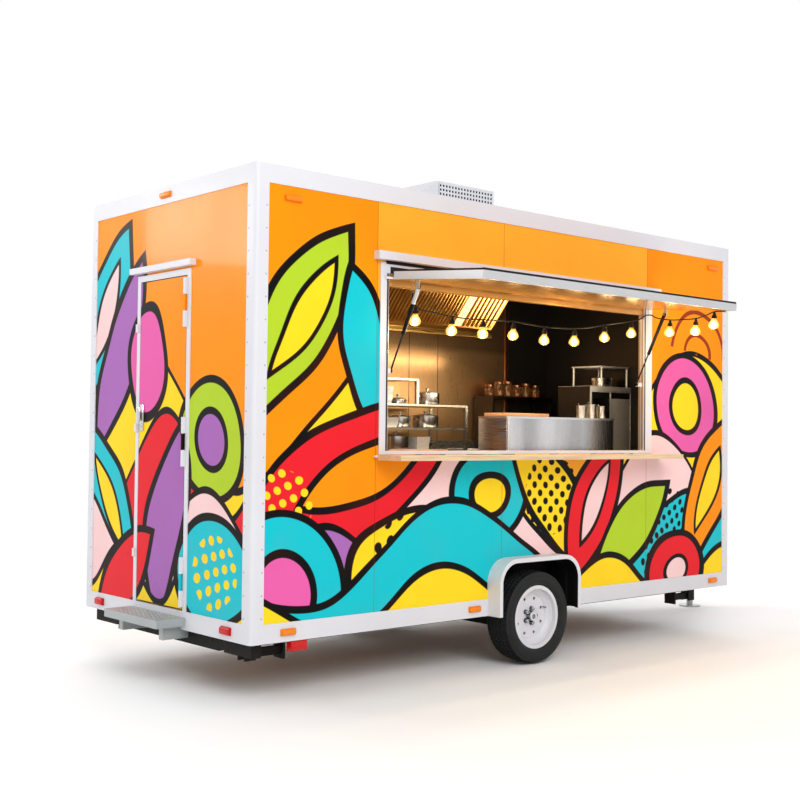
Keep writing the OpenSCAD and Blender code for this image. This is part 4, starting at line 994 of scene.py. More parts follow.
def solid_boxes(node: str) -> List[Box]:
    """The boxes of a CAD node's separate shells, without those inside another.

    Args:
        node: the CAD node's name.

    Returns:
        Lowest and highest corners, sorted by place.
    """
    mesh = bmesh.new()
    mesh.from_mesh(frame["nodes"][node].data)
    bmesh.ops.remove_doubles(mesh, verts=mesh.verts, dist=1e-5)
    left, boxes = set(mesh.verts), []
    while left:
        heap, found = [left.pop()], []
        while heap:
            vert = heap.pop()
            found.append(vert.co.copy())
            for edge in vert.link_edges:
                other = edge.other_vert(vert)
                if other in left:
                    left.remove(other)
                    heap.append(other)
        boxes.append((Vector(map(min, *found)), Vector(map(max, *found))))
    mesh.free()
    outer = [a for a in boxes if not any(
        a is not b and all(b[0][i] < a[0][i] and b[1][i] > a[1][i] for i in range(3)) for b in boxes)]
    return sorted(outer, key=lambda pair: tuple(round(value, 3) for value in (*pair[0], *pair[1])))


@dataclass(frozen=True)
class SoftBox:
    """An area lamp that the camera doesn't see, its light held to a spread in degrees."""

    name: str
    at: Point
    aim: Point
    size: Pair
    power: float
    hue: Point = EVEN
    spread: float = 180.0

    def build(self, base: float = 0.0) -> None:
        """Makes the lamp.

        Args:
            base: where y is 0 for the lamp's place and aim.
        """
        data = bpy.data.lights.new(self.name, "AREA")
        data.spread = math.radians(self.spread)
        data.shape, data.energy, data.color = "RECTANGLE", self.power, self.hue
        data.size, data.size_y = self.size
        made = stand(self.name, data)
        made.location = Vector(self.at) + LEFT * base
        made.rotation_euler = (Vector(self.aim) - Vector(self.at)).to_track_quat("-Z", "Y").to_euler()
        made.visible_camera = False


@dataclass
class Studio:
    """Camera, lights, white world and floor; eye is measured from the body's middle."""

    eye: Point = (-5.6277, -6.05965, 1.4115)
    yaw: float = 0.852149
    pitch: float = 0.026624
    roll: float = 0.011451
    lens: float = 54.85
    sensor: float = 36.0
    farthest: float = 300.0
    ambient: float = 0.52
    floor_half: float = 60.0
    floor_tone: Rgba = (0.97, 0.97, 0.97, 1.0)
    floor_stretch: Point = (1.0, 1.35, 0.0)
    plain_floor: Pair = (3.6, 6.0)
    lights: Tuple[SoftBox, ...] = (
        SoftBox("key_light", (-4.5, -8.0, 6.0), (-0.4, 0.0, 1.3), (6.0, 5.0), 500.0),
        SoftBox("rear_light", (-9.5, 2.0, 4.5), (-1.5, 0.3, 1.3), (5.0, 4.0), 88.0),
        SoftBox("sky_light", (-6.0, 4.6, 3.5), (-2.55, -0.3, 2.45), (2.0, 0.8), 62.0),
        SoftBox("front_light", (7.0, 3.5, 5.5), (0.5, 0.3, 1.3), (6.0, 5.0), 260.0),
        SoftBox("left_light", (-1.0, 8.5, 5.5), (-0.4, 0.3, 1.3), (6.0, 5.0), 330.0))

    def camera(self) -> None:
        """Puts the camera where the photograph was taken from."""
        ahead = Vector((math.cos(self.pitch) * math.cos(self.yaw), math.cos(self.pitch) * math.sin(self.yaw),
                        math.sin(self.pitch)))
        right = ahead.cross(UP).normalized()
        top = right.cross(ahead)
        side = right * math.cos(self.roll) + top * math.sin(self.roll)
        high = top * math.cos(self.roll) - right * math.sin(self.roll)
        data = bpy.data.cameras.new("camera")
        data.sensor_width, data.lens, data.clip_end = self.sensor, self.lens, self.farthest
        made = stand("camera", data)
        turn = Matrix((side, high, -ahead)).transposed().to_4x4()
        made.matrix_world = Matrix.Translation(Vector(self.eye) + Vector((MIDDLE.x, MIDDLE.y, 0))) @ turn
        bpy.context.scene.camera = made

    def world(self) -> None:
        """A white studio: plain light on the object, white to the camera and in reflections."""
        world = bpy.data.worlds.new("studio")
        world.use_nodes = True
        nodes = Nodes(world.node_tree)
        ray = nodes.add("ShaderNodeLightPath").outputs
        through = nodes.math("MAXIMUM", ray["Is Transmission Ray"], ray["Is Glossy Ray"])
        feeds = {0: nodes.math("MAXIMUM", ray["Is Camera Ray"], through)}
        for socket, strength in ((1, self.ambient), (2, 1.0)):
            plain = nodes.add("ShaderNodeBackground", {"Color": PURE_WHITE, "Strength": strength})
            feeds[socket] = plain.outputs[0]
        nodes.add("ShaderNodeOutputWorld", {0: nodes.add("ShaderNodeMixShader", feeds).outputs[0]})
        bpy.context.scene.world = world

    def floor(self) -> None:
        """A pale floor that keeps the shadow near the trailer and turns plain white further out."""
        mesh = bmesh.new()
        bmesh.ops.create_grid(mesh, x_segments=1, y_segments=1, size=self.floor_half)
        data = bpy.data.meshes.new("studio_floor")
        mesh.to_mesh(data)
        mesh.free()
        stand("studio_floor", data)
        shader = Shader("studio_floor")
        shader.set(Base_Color=self.floor_tone, Roughness=shader.middling(shader.noise(3.0), 0.75, 0.9))
        far = shader.vector("LENGTH", shader.vector("MULTIPLY", shader.place, self.floor_stretch))
        glow = shader.add("ShaderNodeEmission")
        mix = shader.add("ShaderNodeMixShader", {0: shader.fit(far, *self.plain_floor),
                                                 1: shader.surface.outputs[0], 2: glow.outputs[0]})
        shader.feed(shader.out.inputs[0], mix.outputs[0])
        data.materials.append(shader.material)

    def build(self) -> None:
        """Sets up the whole studio."""
        bpy.context.scene.view_settings.view_transform = "Standard"
        self.camera()
        self.world()
        self.floor()
        for light in self.lights:
            light.build()


@dataclass
class StringLights:
    """A cord on hooks under the hatch, with sockets and lit bulbs."""

    hinge: Vector = field(default_factory=lambda: Vector((MIDDLE.x, *PIVOTS["hatch_hinge"].yz)))
    droop: float = math.radians(4.5)
    face: float = 0.008
    cord_radius: float = 0.004
    socket: Pair = (0.017, 0.04)
    bulb: float = 0.033
    lamp_power: float = 2.6
    lamp_hue: Point = (1.0, 0.74, 0.4)
    lamp_size: float = 0.03
    lamp_below: float = 0.14
    route: Tuple[Point, ...] = (
        (-1.122, 0.092, 0.062), (-1.067, 0.07, 0.139), (-0.923, 0.068, 0.164), (-0.779, 0.068, 0.177),
        (-0.652, 0.069, 0.181), (-0.526, 0.07, 0.178), (-0.398, 0.071, 0.175), (-0.27, 0.072, 0.172),
        (-0.131, 0.073, 0.18), (0.008, 0.074, 0.186), (0.149, 0.074, 0.185), (0.29, 0.074, 0.178),
        (0.438, 0.073, 0.16), (0.587, 0.072, 0.135), (0.727, 0.07, 0.113), (0.866, 0.068, 0.091),
        (0.96, 0.067, 0.068), (1.03, 0.072, 0.038), (1.016, 0.15, 0.056), (0.998, 0.279, 0.07),
        (0.996, 0.38, 0.066), (0.996, 0.483, 0.057), (0.996, 0.556, 0.036), (0.996, 0.62, 0.012),
        (0.996, 0.7, 0.008))
    lit: Tuple[int, ...] = (1, 3, 5, 7, 9, 11, 13, 15, 19, 21, 23)
    hooks: Tuple[int, ...] = (0, 17, 24)

    def on_hatch(self, along: float, out: float, below: float) -> Vector:
        """A point under the hatch, from its place along, out from the hinge and below the hatch."""
        turn = Matrix.Rotation(self.droop, 3, "X")
        return self.hinge + turn @ Vector((along, -out, -self.face - below))

    def hang(self) -> Vector:
        """The direction in which the bulbs hang."""
        return Matrix.Rotation(self.droop, 3, "X") @ -UP

    def cord(self) -> bpy.types.Object:
        """The cord, as one smooth curve through the route's points.

        Returns:
            The piece's object.
        """
        data = bpy.data.curves.new("string_light_cord", "CURVE")
        data.dimensions, data.resolution_u, data.bevel_resolution = "3D", 10, 3
        spline = data.splines.new("BEZIER")
        spline.bezier_points.add(len(self.route) - 1)
        for knot, point in zip(spline.bezier_points, self.route):
            knot.co = self.on_hatch(*point)
            knot.handle_left_type = knot.handle_right_type = "AUTO"
        made = stand("string_light_cord", data)
        bpy.context.view_layer.update()
        line = made.to_mesh()
        self.length = sum((line.vertices[a].co - line.vertices[b].co).length
                          for a, b in (edge.vertices for edge in line.edges))
        made.to_mesh_clear()
        data.bevel_depth = self.cord_radius
        data.materials.append(SEAL.material())
        settle(made, "hatch", ("light_cord",))
        return made

    def sockets(self) -> bpy.types.Object:
        """Moulded sockets with ribs and a hood.

        Returns:
            The piece's object.
        """
        maker = Maker("bulb_sockets")
        radius, length = self.socket
        profile = [(0.0, -0.002), (0.006, -0.001), (0.008, 0.006), (0.0105, 0.009), (0.0105, 0.012),
                   (0.0095, 0.014), (0.012, 0.018), (radius - 0.001, 0.024), (radius, 0.03),
                   (radius, length - 0.004), (radius - 0.002, length), (radius - 0.004, length - 0.003),
                   (0.0, length - 0.003)]
        for index in self.lit:
            start = self.on_hatch(*self.route[index]) + self.hang() * self.cord_radius
            maker.turned(profile, start, self.hang(), 16)
        return maker.piece("hatch", "cord_black", SEAL)

    def bulbs(self) -> bpy.types.Object:
        """Pear-shaped glass bulbs, each with a lit core.

        Returns:
            The piece's object.
        """
        maker = Maker("lit_bulbs")
        big, neck = self.bulb, self.socket[0] * 0.74
        top = self.socket[1] - 0.004
        glass = [(neck, 0.0), (neck + 0.0008, 0.008), (big * 0.6, 0.018), (big * 0.82, 0.028),
                 (big * 0.96, 0.038), (big, 0.046), (big * 0.95, 0.055), (big * 0.78, 0.063),
                 (big * 0.5, 0.0685), (big * 0.2, 0.0708), (0.0, 0.071)]
        core = [(0.0, 0.016), (0.009, 0.024), (0.0165, 0.036), (0.019, 0.047), (0.015, 0.057), (0.007, 0.063),
                (0.0, 0.0645)]
        for index in self.lit:
            start = self.on_hatch(*self.route[index]) + self.hang() * (self.cord_radius + top)
            for finish, profile, steps in ((0, glass, 22), (1, core, 12)):
                maker.finish = finish
                maker.turned(profile, start, self.hang(), steps)
        return maker.piece("hatch", "bulb_glass", BULB, CORE, replaces=("light_bulbs",), sharp=80.0)

    def hook_set(self) -> bpy.types.Object:
        """Screw eyes that hold the cord to the hatch.

        Returns:
            The piece's object.
        """
        maker = Maker("cord_hooks")
        for index in self.hooks:
            along, out, below = self.route[index]
            top = self.on_hatch(along, out, 0.0)
            at = self.on_hatch(along, out, below)
            maker.rod(top, top + self.hang() * 0.003, 0.012, 16)
            maker.rod(top, at - self.hang() * 0.006, 0.0016, 8)
            maker.hoop(at, FRONT, 0.007, 0.0018, 16, 6)
        return maker.piece("hatch", "zinc_steel", ZINC)

    def lamps(self) -> None:
        """Warm light from the bulbs on what is near them."""
        for index in self.lit:
            data = bpy.data.lights.new(f"bulb_light_{index}", "POINT")
            data.energy, data.color, data.shadow_soft_size = self.lamp_power, self.lamp_hue, self.lamp_size
            made = stand(data.name, data)
            made.location = self.on_hatch(*self.route[index]) + self.hang() * self.lamp_below
            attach(made, "hatch")

    def build(self) -> None:
        cord = self.cord()
        others = [self.sockets(), self.bulbs(), self.hook_set()]
        self.lamps()


@dataclass
class BodyShell:
    """Walls with their art, white frame members, rivets, roof and inner lining."""

    rivet: float = 0.0062
    rivet_rise: float = 0.0024
    rivet_gap: float = 0.118
    rivet_in: float = 0.066
    rivet_ends: Pair = (0.13, 0.16)
    sheet: float = 0.004
    lap: float = 0.002
    dark_from: float = 1.09
    dark_roof: float = 0.81
    opening_x: Pair = (-1.756, 0.69)
    opening_z: Pair = (1.288, 2.36)
    sheet_seams: Tuple[float, ...] = (-1.9, -1.2, -0.55, 0.011, 0.308)
    cover_half: float = 0.02
    joint_half: float = 0.0025
    corner_strip: float = 0.034
    batten_shares: Tuple[float, ...] = (0.17, 0.34, 0.66, 0.83)
    batten_half: float = 0.03
    batten_rise: float = 0.006
    grille_cells: Tuple[int, int] = (18, 6)
    grille_long: float = 0.498
    grille_row: float = 0.0275
    grille_hole: float = 0.0145
    grille_in: float = 0.014

    def dress(self) -> None:
        """Paints the outer walls and the frame members that stay as their solids."""
        for node, finish in (("wall_right", RIGHT_WALL), ("wall_left", LEFT_WALL), ("wall_rear", REAR_WALL),
                             ("wall_front", FRONT_WALL), ("door_leaf", REAR_WALL)):
            dress_node(node, finish)
        for node in ("corner_posts", "sill_rails", "roof_rails", "roof_panel", "window_frame", "hatch_header",
                     "door_frame"):
            dress_node(node, WHITE)
        dress_node("floor_deck", PLY)
        dress_node("wheel_tubs", DARK)

    def rivets(self) -> None:
        """Rows of domed rivets up the corner posts."""
        maker = Maker("body_rivets")
        low, high = POSTS
        first, spare = self.rivet_ends
        spots: List[Tuple[Vector, Vector]] = []
        for index in range(int((high.z - low.z - spare) / self.rivet_gap) + 1):
            z = low.z + first + index * self.rivet_gap
            for x in (low.x + self.rivet_in, high.x - self.rivet_in):
                spots += [(Vector((x, low.y, z)), -LEFT), (Vector((x, high.y, z)), LEFT)]
            for y in (low.y + self.rivet_in, high.y - self.rivet_in):
                spots += [(Vector((low.x, y, z)), -FRONT), (Vector((high.x, y, z)), FRONT)]
        for at, out in spots:
            maker.rod(at - out * 0.0005, at + out * self.rivet_rise, self.rivet, 8, self.rivet * 0.45)
        maker.piece("trailer", "white_paint", RIVET)

    @staticmethod
    def sheets(maker: Maker, y: Pair, *sides: Tuple[float, float, float, float]) -> None:
        """Wall sheets between two places in y, each from its low x and z to its high x and z."""
        for x0, z0, x1, z1 in sides:
            maker.block((x0, y[0], z0), (x1, y[1], z1))

    def lining(self) -> None:
        """Stainless sheets inside the walls, with cover strips on their seams, and dark ones at the front."""
        near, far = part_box("wall_right")[1].y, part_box("wall_left")[0].y
        near_y, far_y = (near, near + self.sheet), (far - self.sheet, far)
        face, end = far_y[0], far - self.lap
        floor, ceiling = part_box("floor_deck")[1].z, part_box("roof_panel")[0].z
        rear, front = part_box("wall_rear")[1].x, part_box("wall_front")[0].x
        tub_low, tub_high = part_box("wheel_tubs")
        (x0, x1), (z0, z1) = self.opening_x, self.opening_z
        dark, tub_z = self.dark_from, tub_high.z
        maker = Maker("inner_lining")
        self.sheets(maker, far_y, (rear, floor, tub_low.x, tub_z), (tub_high.x, floor, dark, tub_z),
                    (rear, tub_z, dark, ceiling))
        self.sheets(maker, (near, end), (rear, floor, rear + self.sheet, ceiling))
        for seam in self.sheet_seams:
            maker.block((seam - self.cover_half, face - 0.0012, tub_z),
                        (seam + self.cover_half, face + self.lap, ceiling), 0.0005, 1)
        self.sheets(maker, near_y, (rear, floor, x0, ceiling), (x0, floor, tub_low.x, tub_z),
                    (tub_high.x, floor, x1, tub_z), (x0, tub_z, x1, z0), (x0, z1, x1, ceiling))
        maker.finish = 1
        self.sheets(maker, near_y, (x1, floor, front, ceiling))
        self.sheets(maker, far_y, (dark, floor, front, ceiling))
        self.sheets(maker, (near, end), (front - self.sheet, floor, front, ceiling),
                    (self.dark_roof, ceiling - self.sheet, front, ceiling))
        for seam in self.sheet_seams:
            maker.block((seam - self.joint_half, face - 0.0018, tub_z),
                        (seam + self.joint_half, face, ceiling))
        maker.finish = 2
        self.sheets(maker, (near, end), (rear, ceiling - self.sheet, self.dark_roof, ceiling))
        maker.finish = 3
        maker.block((dark - self.corner_strip, face - 0.006, floor),
                    (dark + self.lap, face + self.lap, ceiling), 0.002)
        maker.piece("trailer", "stainless", PANEL, DARK_PANEL, LINING, COVER)

    def roof(self) -> None:
        """Seam battens across the roof."""
        low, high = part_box("roof_panel")
        maker = Maker("roof_seams")
        for share in self.batten_shares:
            x = low.x + (high.x - low.x) * share
            maker.block((x - self.batten_half, low.y + 0.01, high.z - 0.001),
                        (x + self.batten_half, high.y - 0.01, high.z + self.batten_rise), 0.002)
        maker.piece("trailer", "white_paint", WHITE)

    def vent(self) -> None:
        """The vent's perforated plate over a dark sheet."""
        dress_node("roof_vent", VENT_WHITE)
        low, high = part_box("roof_vent")
        maker = Maker("vent_grille")
        right, top = high.x - self.grille_in, high.z - self.grille_in
        left = right - self.grille_long
        columns, rows = self.grille_cells
        wide, tall = (right - left) / columns, self.grille_row
        bottom, back = top - rows * tall, low.y - 0.0005
        maker.finish = 1
        maker.block((left, low.y - 0.001, bottom), (right, low.y + 0.0005, top))
        maker.finish = 0
        edge = (tall - self.grille_hole) / 2
        for z in (top - row * tall for row in range(rows + 1)):
            maker.block((left, low.y - 0.004, max(bottom, z - edge)), (right, back, min(top, z + edge)),
                        0.0005, 1)
        edge = (wide - self.grille_hole) / 2
        for x in (left + column * wide for column in range(columns + 1)):
            maker.block((max(left, x - edge), low.y - 0.0038, bottom), (min(right, x + edge), back, top))
        maker.piece("trailer", "white_paint", VENT_WHITE, DARK)

    def build(self) -> None:
        """Builds and dresses the shell."""
        self.dress()
        self.rivets()
        self.lining()
        self.roof()
        self.vent()


@dataclass
class Lamps:
    """Marker and tail lamps with rounded lenses on flat bases."""

    base: float = 0.006
    base_edge: float = 0.002
    round_edge: float = 0.008
    inset: float = 0.003

    def lens_set(self, name: str, node: str, slot: str, finish: Finish) -> None:
        """Builds a lens for each of a node's lamps.

        Args:
            name: the piece's name.
            node: the CAD node whose lamps it stands for.
            slot: the record's material slot, passed on to the piece but not used there.
            finish: the lens's finish.
        """
        maker = Maker(name)
        centre = (CAD_BOX[0] + CAD_BOX[1]) / 2
        for low, high in solid_boxes(node):
            size = high - low
            thin = min(range(3), key=lambda i: size[i])
            foot, lens = (low.copy(), high.copy()), (low.copy(), high.copy())
            seat, out = (0, 1) if low[thin] > centre[thin] else (1, -1)
            foot[1 - seat][thin] = lens[seat][thin] + out * self.base
            lens[seat][thin] += out * self.base * 0.5
            maker.block(*foot, self.base_edge)
            inset = Vector([self.inset] * 3)
            inset[thin] = 0.0
            maker.block(lens[0] + inset, lens[1] - inset, min(self.round_edge, size[thin] * 0.45), 3)
        maker.piece("trailer", slot, finish, replaces=(node,))

    def build(self) -> None:
        """Builds the lamps."""
        self.lens_set("marker_lamp_lenses", "marker_lamps", "amber_lens", AMBER)
        self.lens_set("tail_lamp_lenses", "tail_lamps", "red_lens", RED_LENS)


@dataclass
class RearDoor:
    """Trim, kick plate and lock on the rear door, and the step's grip."""

    trim: float = 0.014
    hinge_gap: float = 0.012
    kick: float = 0.05
    proud: float = 0.0035
    bite: float = 0.004
    plate: float = 0.008
    barrel: float = 0.011
    barrel_up: float = 0.03
    slot_half: Pair = (0.001, 0.006)
    grip_rows: int = 7
    grip: Pair = (0.004, 0.03)
    grip_pitch: float = 0.052
    grip_rise: float = 0.0025

    def leaf_trim(self) -> None:
        """White edge trim and kick plate on the leaf."""
        low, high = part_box("door_leaf")
        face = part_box("wall_rear")[0].x
        y0, y1 = low.y + self.hinge_gap, high.y
        maker = Maker("door_leaf_trim")
        for a, b, z0, z1 in ((y0, y0 + self.trim, low.z, high.z), (y1 - self.trim, y1, low.z, high.z),
                             (y0, y1, high.z - self.trim, high.z), (y0, y1, low.z, low.z + self.kick)):
            maker.block((face - self.proud, a, z0), (face + self.bite, b, z1), 0.0015)
        maker.piece("door", "white_paint", WHITE)

    def lock(self) -> None:
        """A chromed lock plate with a paddle handle and a key barrel."""
        low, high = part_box("door_lock")
        maker = Maker("door_lock_set")
        middle = (low + high) / 2
        key = Vector((high.x, middle.y, low.z + self.barrel_up))
        maker.block((high.x - self.plate, low.y, low.z), high, 0.003)
        maker.block((low.x + 0.004, low.y + 0.006, middle.z - 0.02),
                    (high.x - 0.006, high.y - 0.006, high.z - 0.014), 0.006)
        maker.rod(key - FRONT * 0.014, key - FRONT * 0.006, self.barrel, 20)
        maker.finish = 1
        half = Vector((0, *self.slot_half))
        maker.block(key - FRONT * 0.0146 - half, key - FRONT * 0.012 + half)
        maker.piece("door", "zinc_steel", CHROME, SEAL, replaces=("door_lock",))

    def step(self) -> None:
        """Raised grip bars on the step plate."""
        dress_node("step_plate", STEP)
        low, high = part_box("step_plate")
        maker = Maker("step_grip")
        half, long = self.grip
        for index in range(self.grip_rows):
            x = low.x + 0.03 + (high.x - low.x - 0.09) * index / (self.grip_rows - 1)
            y = low.y + 0.05
            while y < high.y - 0.08:
                maker.block((x - half, y, high.z - 0.001), (x + half, y + long, high.z + self.grip_rise),
                            0.0012, 1)
                y += self.grip_pitch
        maker.piece("trailer", "grey_step", STEP)

    def build(self) -> None:
        """Builds the door's dressing."""
        self.leaf_trim()
        self.lock()
        self.step()


@dataclass
class ServingHatch:
    """The hatch's skins and seals, its struts, the shelf and the opening's seals."""

    lights: StringLights
    reach: float = 0.72
    thick: float = 0.045
    hinge_room: float = 0.03
    lining_in: float = 0.022
    skin_in: float = 0.015
    cap_half: float = 0.0012
    rubber: float = 0.009
    sleeve_radii: Tuple[float, float, float] = (0.0111, 0.0118, 0.0128)
    sleeve_ends: Tuple[float, float, float] = (0.014, 0.1, 0.106)
    jamb_ribs: Pair = (0.02, 0.5)
    head_drop: float = 0.07

    def slab(self, maker: Maker, x: Pair, out: Pair, up: Pair, bevel: float = 0.0) -> None:
        """A block on the level hatch.

        Args:
            maker: the mesh being built.
            x: its ends along the trailer.
            out: its reach from the hinge.
            up: its height over the hinge.
            bevel: radius of its edges.
        """
        hinge = self.lights.hinge
        maker.block((x[0], hinge.y - out[1], hinge.z + up[0]), (x[1], hinge.y - out[0], hinge.z + up[1]),
                    bevel)

    def hung(self, maker: Maker, slot: str, *finishes: Finish) -> None:
        """Turns the level blocks to the hatch's droop and makes them a piece on it."""
        maker.turn(maker.mesh.verts, self.lights.hinge, FRONT, self.lights.droop)
        maker.piece("hatch", slot, *finishes)

    def skins(self) -> None:
        """Lining under the hatch in a painted warm reflection, art on its top, and white ends."""
        low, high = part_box("hatch_panel")
        face, top = -self.lights.face, self.thick - self.lights.face
        for name, inset, up, slot, finish in (
                ("hatch_underside", self.lining_in, (face - 0.0015, face + 0.001), "stainless", UNDERSIDE),
                ("hatch_top_skin", self.skin_in, (top - 0.0005, top + 0.0012), "mural_panel", HATCH_ART)):
            maker = Maker(name)
            self.slab(maker, (low.x + inset, high.x - inset), (self.hinge_room, self.reach - inset), up)
            self.hung(maker, slot, finish)
        maker = Maker("hatch_end_caps")
        for x in (low.x, high.x):
            self.slab(maker, (x - self.cap_half, x + self.cap_half), (0.02, self.reach - 0.002),
                      (face + 0.001, top - 0.001), 0.0005)
        self.hung(maker, "white_paint", WHITE)

    def rubber_edge(self) -> None:
        """Rubber round the hatch's upper edge."""
        low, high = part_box("hatch_panel")
        x0, x1 = low.x + 0.001, high.x - 0.001
        foot, edge = self.thick - self.lights.face - 0.001, self.reach - 0.002
        maker = Maker("hatch_seal")
        self.slab(maker, (x0, x1), (edge - self.rubber, edge), (foot, foot + 0.013), 0.002)
        for x in (x0, x1 - self.rubber):
            self.slab(maker, (x, x + self.rubber), (0.045, edge), (foot, foot + 0.011), 0.002)
        self.hung(maker, "cord_black", SEAL)

    def struts(self) -> None:
        """Black tubes on dark rods, each with a hollow sleeve, pale at the rear and black at the front."""
        inner, outer, collar = self.sleeve_radii
        start, step, stop = self.sleeve_ends
        sleeve = [(inner, start), (outer, start), (outer, step), (collar, step), (collar, stop),
                  (inner, stop)]
        for end, finish in (("rear", EDGE), ("front", DARK)):
            dress_node(f"strut_tube_{end}", DARK)
            dress_node(f"strut_rod_{end}", ROD)
            maker = Maker(f"strut_sleeve_{end}")
            maker.turned(sleeve + sleeve[:1], PIVOTS[f"strut_{end}_eye"], -SLIDES[f"strut_{end}_rod"], 20)
            maker.piece(f"strut_tube_{end}", "strut_steel", finish)

    def seals(self) -> None:
        """Rubber under the drip rail and by the opening's uprights, bright jambs and a head trim in painted
        warm reflection.
        """
        maker = Maker("opening_seals")
        boxes = solid_boxes("window_frame")
        low, high = max(boxes, key=lambda pair: pair[0].z)
        sill = min((pair for pair in boxes if pair[1].x - pair[0].x > 1.0), key=lambda pair: pair[0].z)[1].z
        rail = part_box("hatch_header")[1].z - 0.046
        face, back = low.y, high.y
        maker.block((low.x + 0.01, face - 0.003, low.z), (high.x + 0.02, face + 0.001, high.z - 0.022), 0.001)
        maker.block((low.x - 0.02, face - 0.001, high.z - 0.008), (high.x + 0.04, face + 0.004, rail + 0.002))
        for x in (low.x - 0.013, high.x + 0.004):
            maker.block((x, face - 0.003, sill), (x + self.rubber, face + 0.001, low.z), 0.001)
        maker.finish = 1
        for x in (low.x, high.x):
            for share in self.jamb_ribs:
                y = face + (back - face) * share
                maker.block((x - 0.0025, y, sill), (x + 0.0025, y + 0.007, low.z), 0.001)
        maker.finish = 2
        for x in (low.x, high.x):
            maker.block((x - 0.0015, face + 0.002, sill), (x + 0.0015, back, low.z))
        # Head trim in the hatch lining's painted warm reflection.
        maker.finish = 3
        maker.block((low.x + 0.002, face + 0.008, low.z - self.head_drop),
                    (high.x - 0.002, back, low.z + 0.001), 0.001)
        maker.piece("trailer", "cord_black", SEAL, EDGE, JAMB, UNDERSIDE)

    def build(self) -> None:
        """Builds the serving side's dressing."""
        dress_node("hatch_panel", EDGE)
        dress_node("serving_shelf", SHELF_WOOD)
        self.skins()
        self.rubber_edge()
        self.struts()
        self.seals()


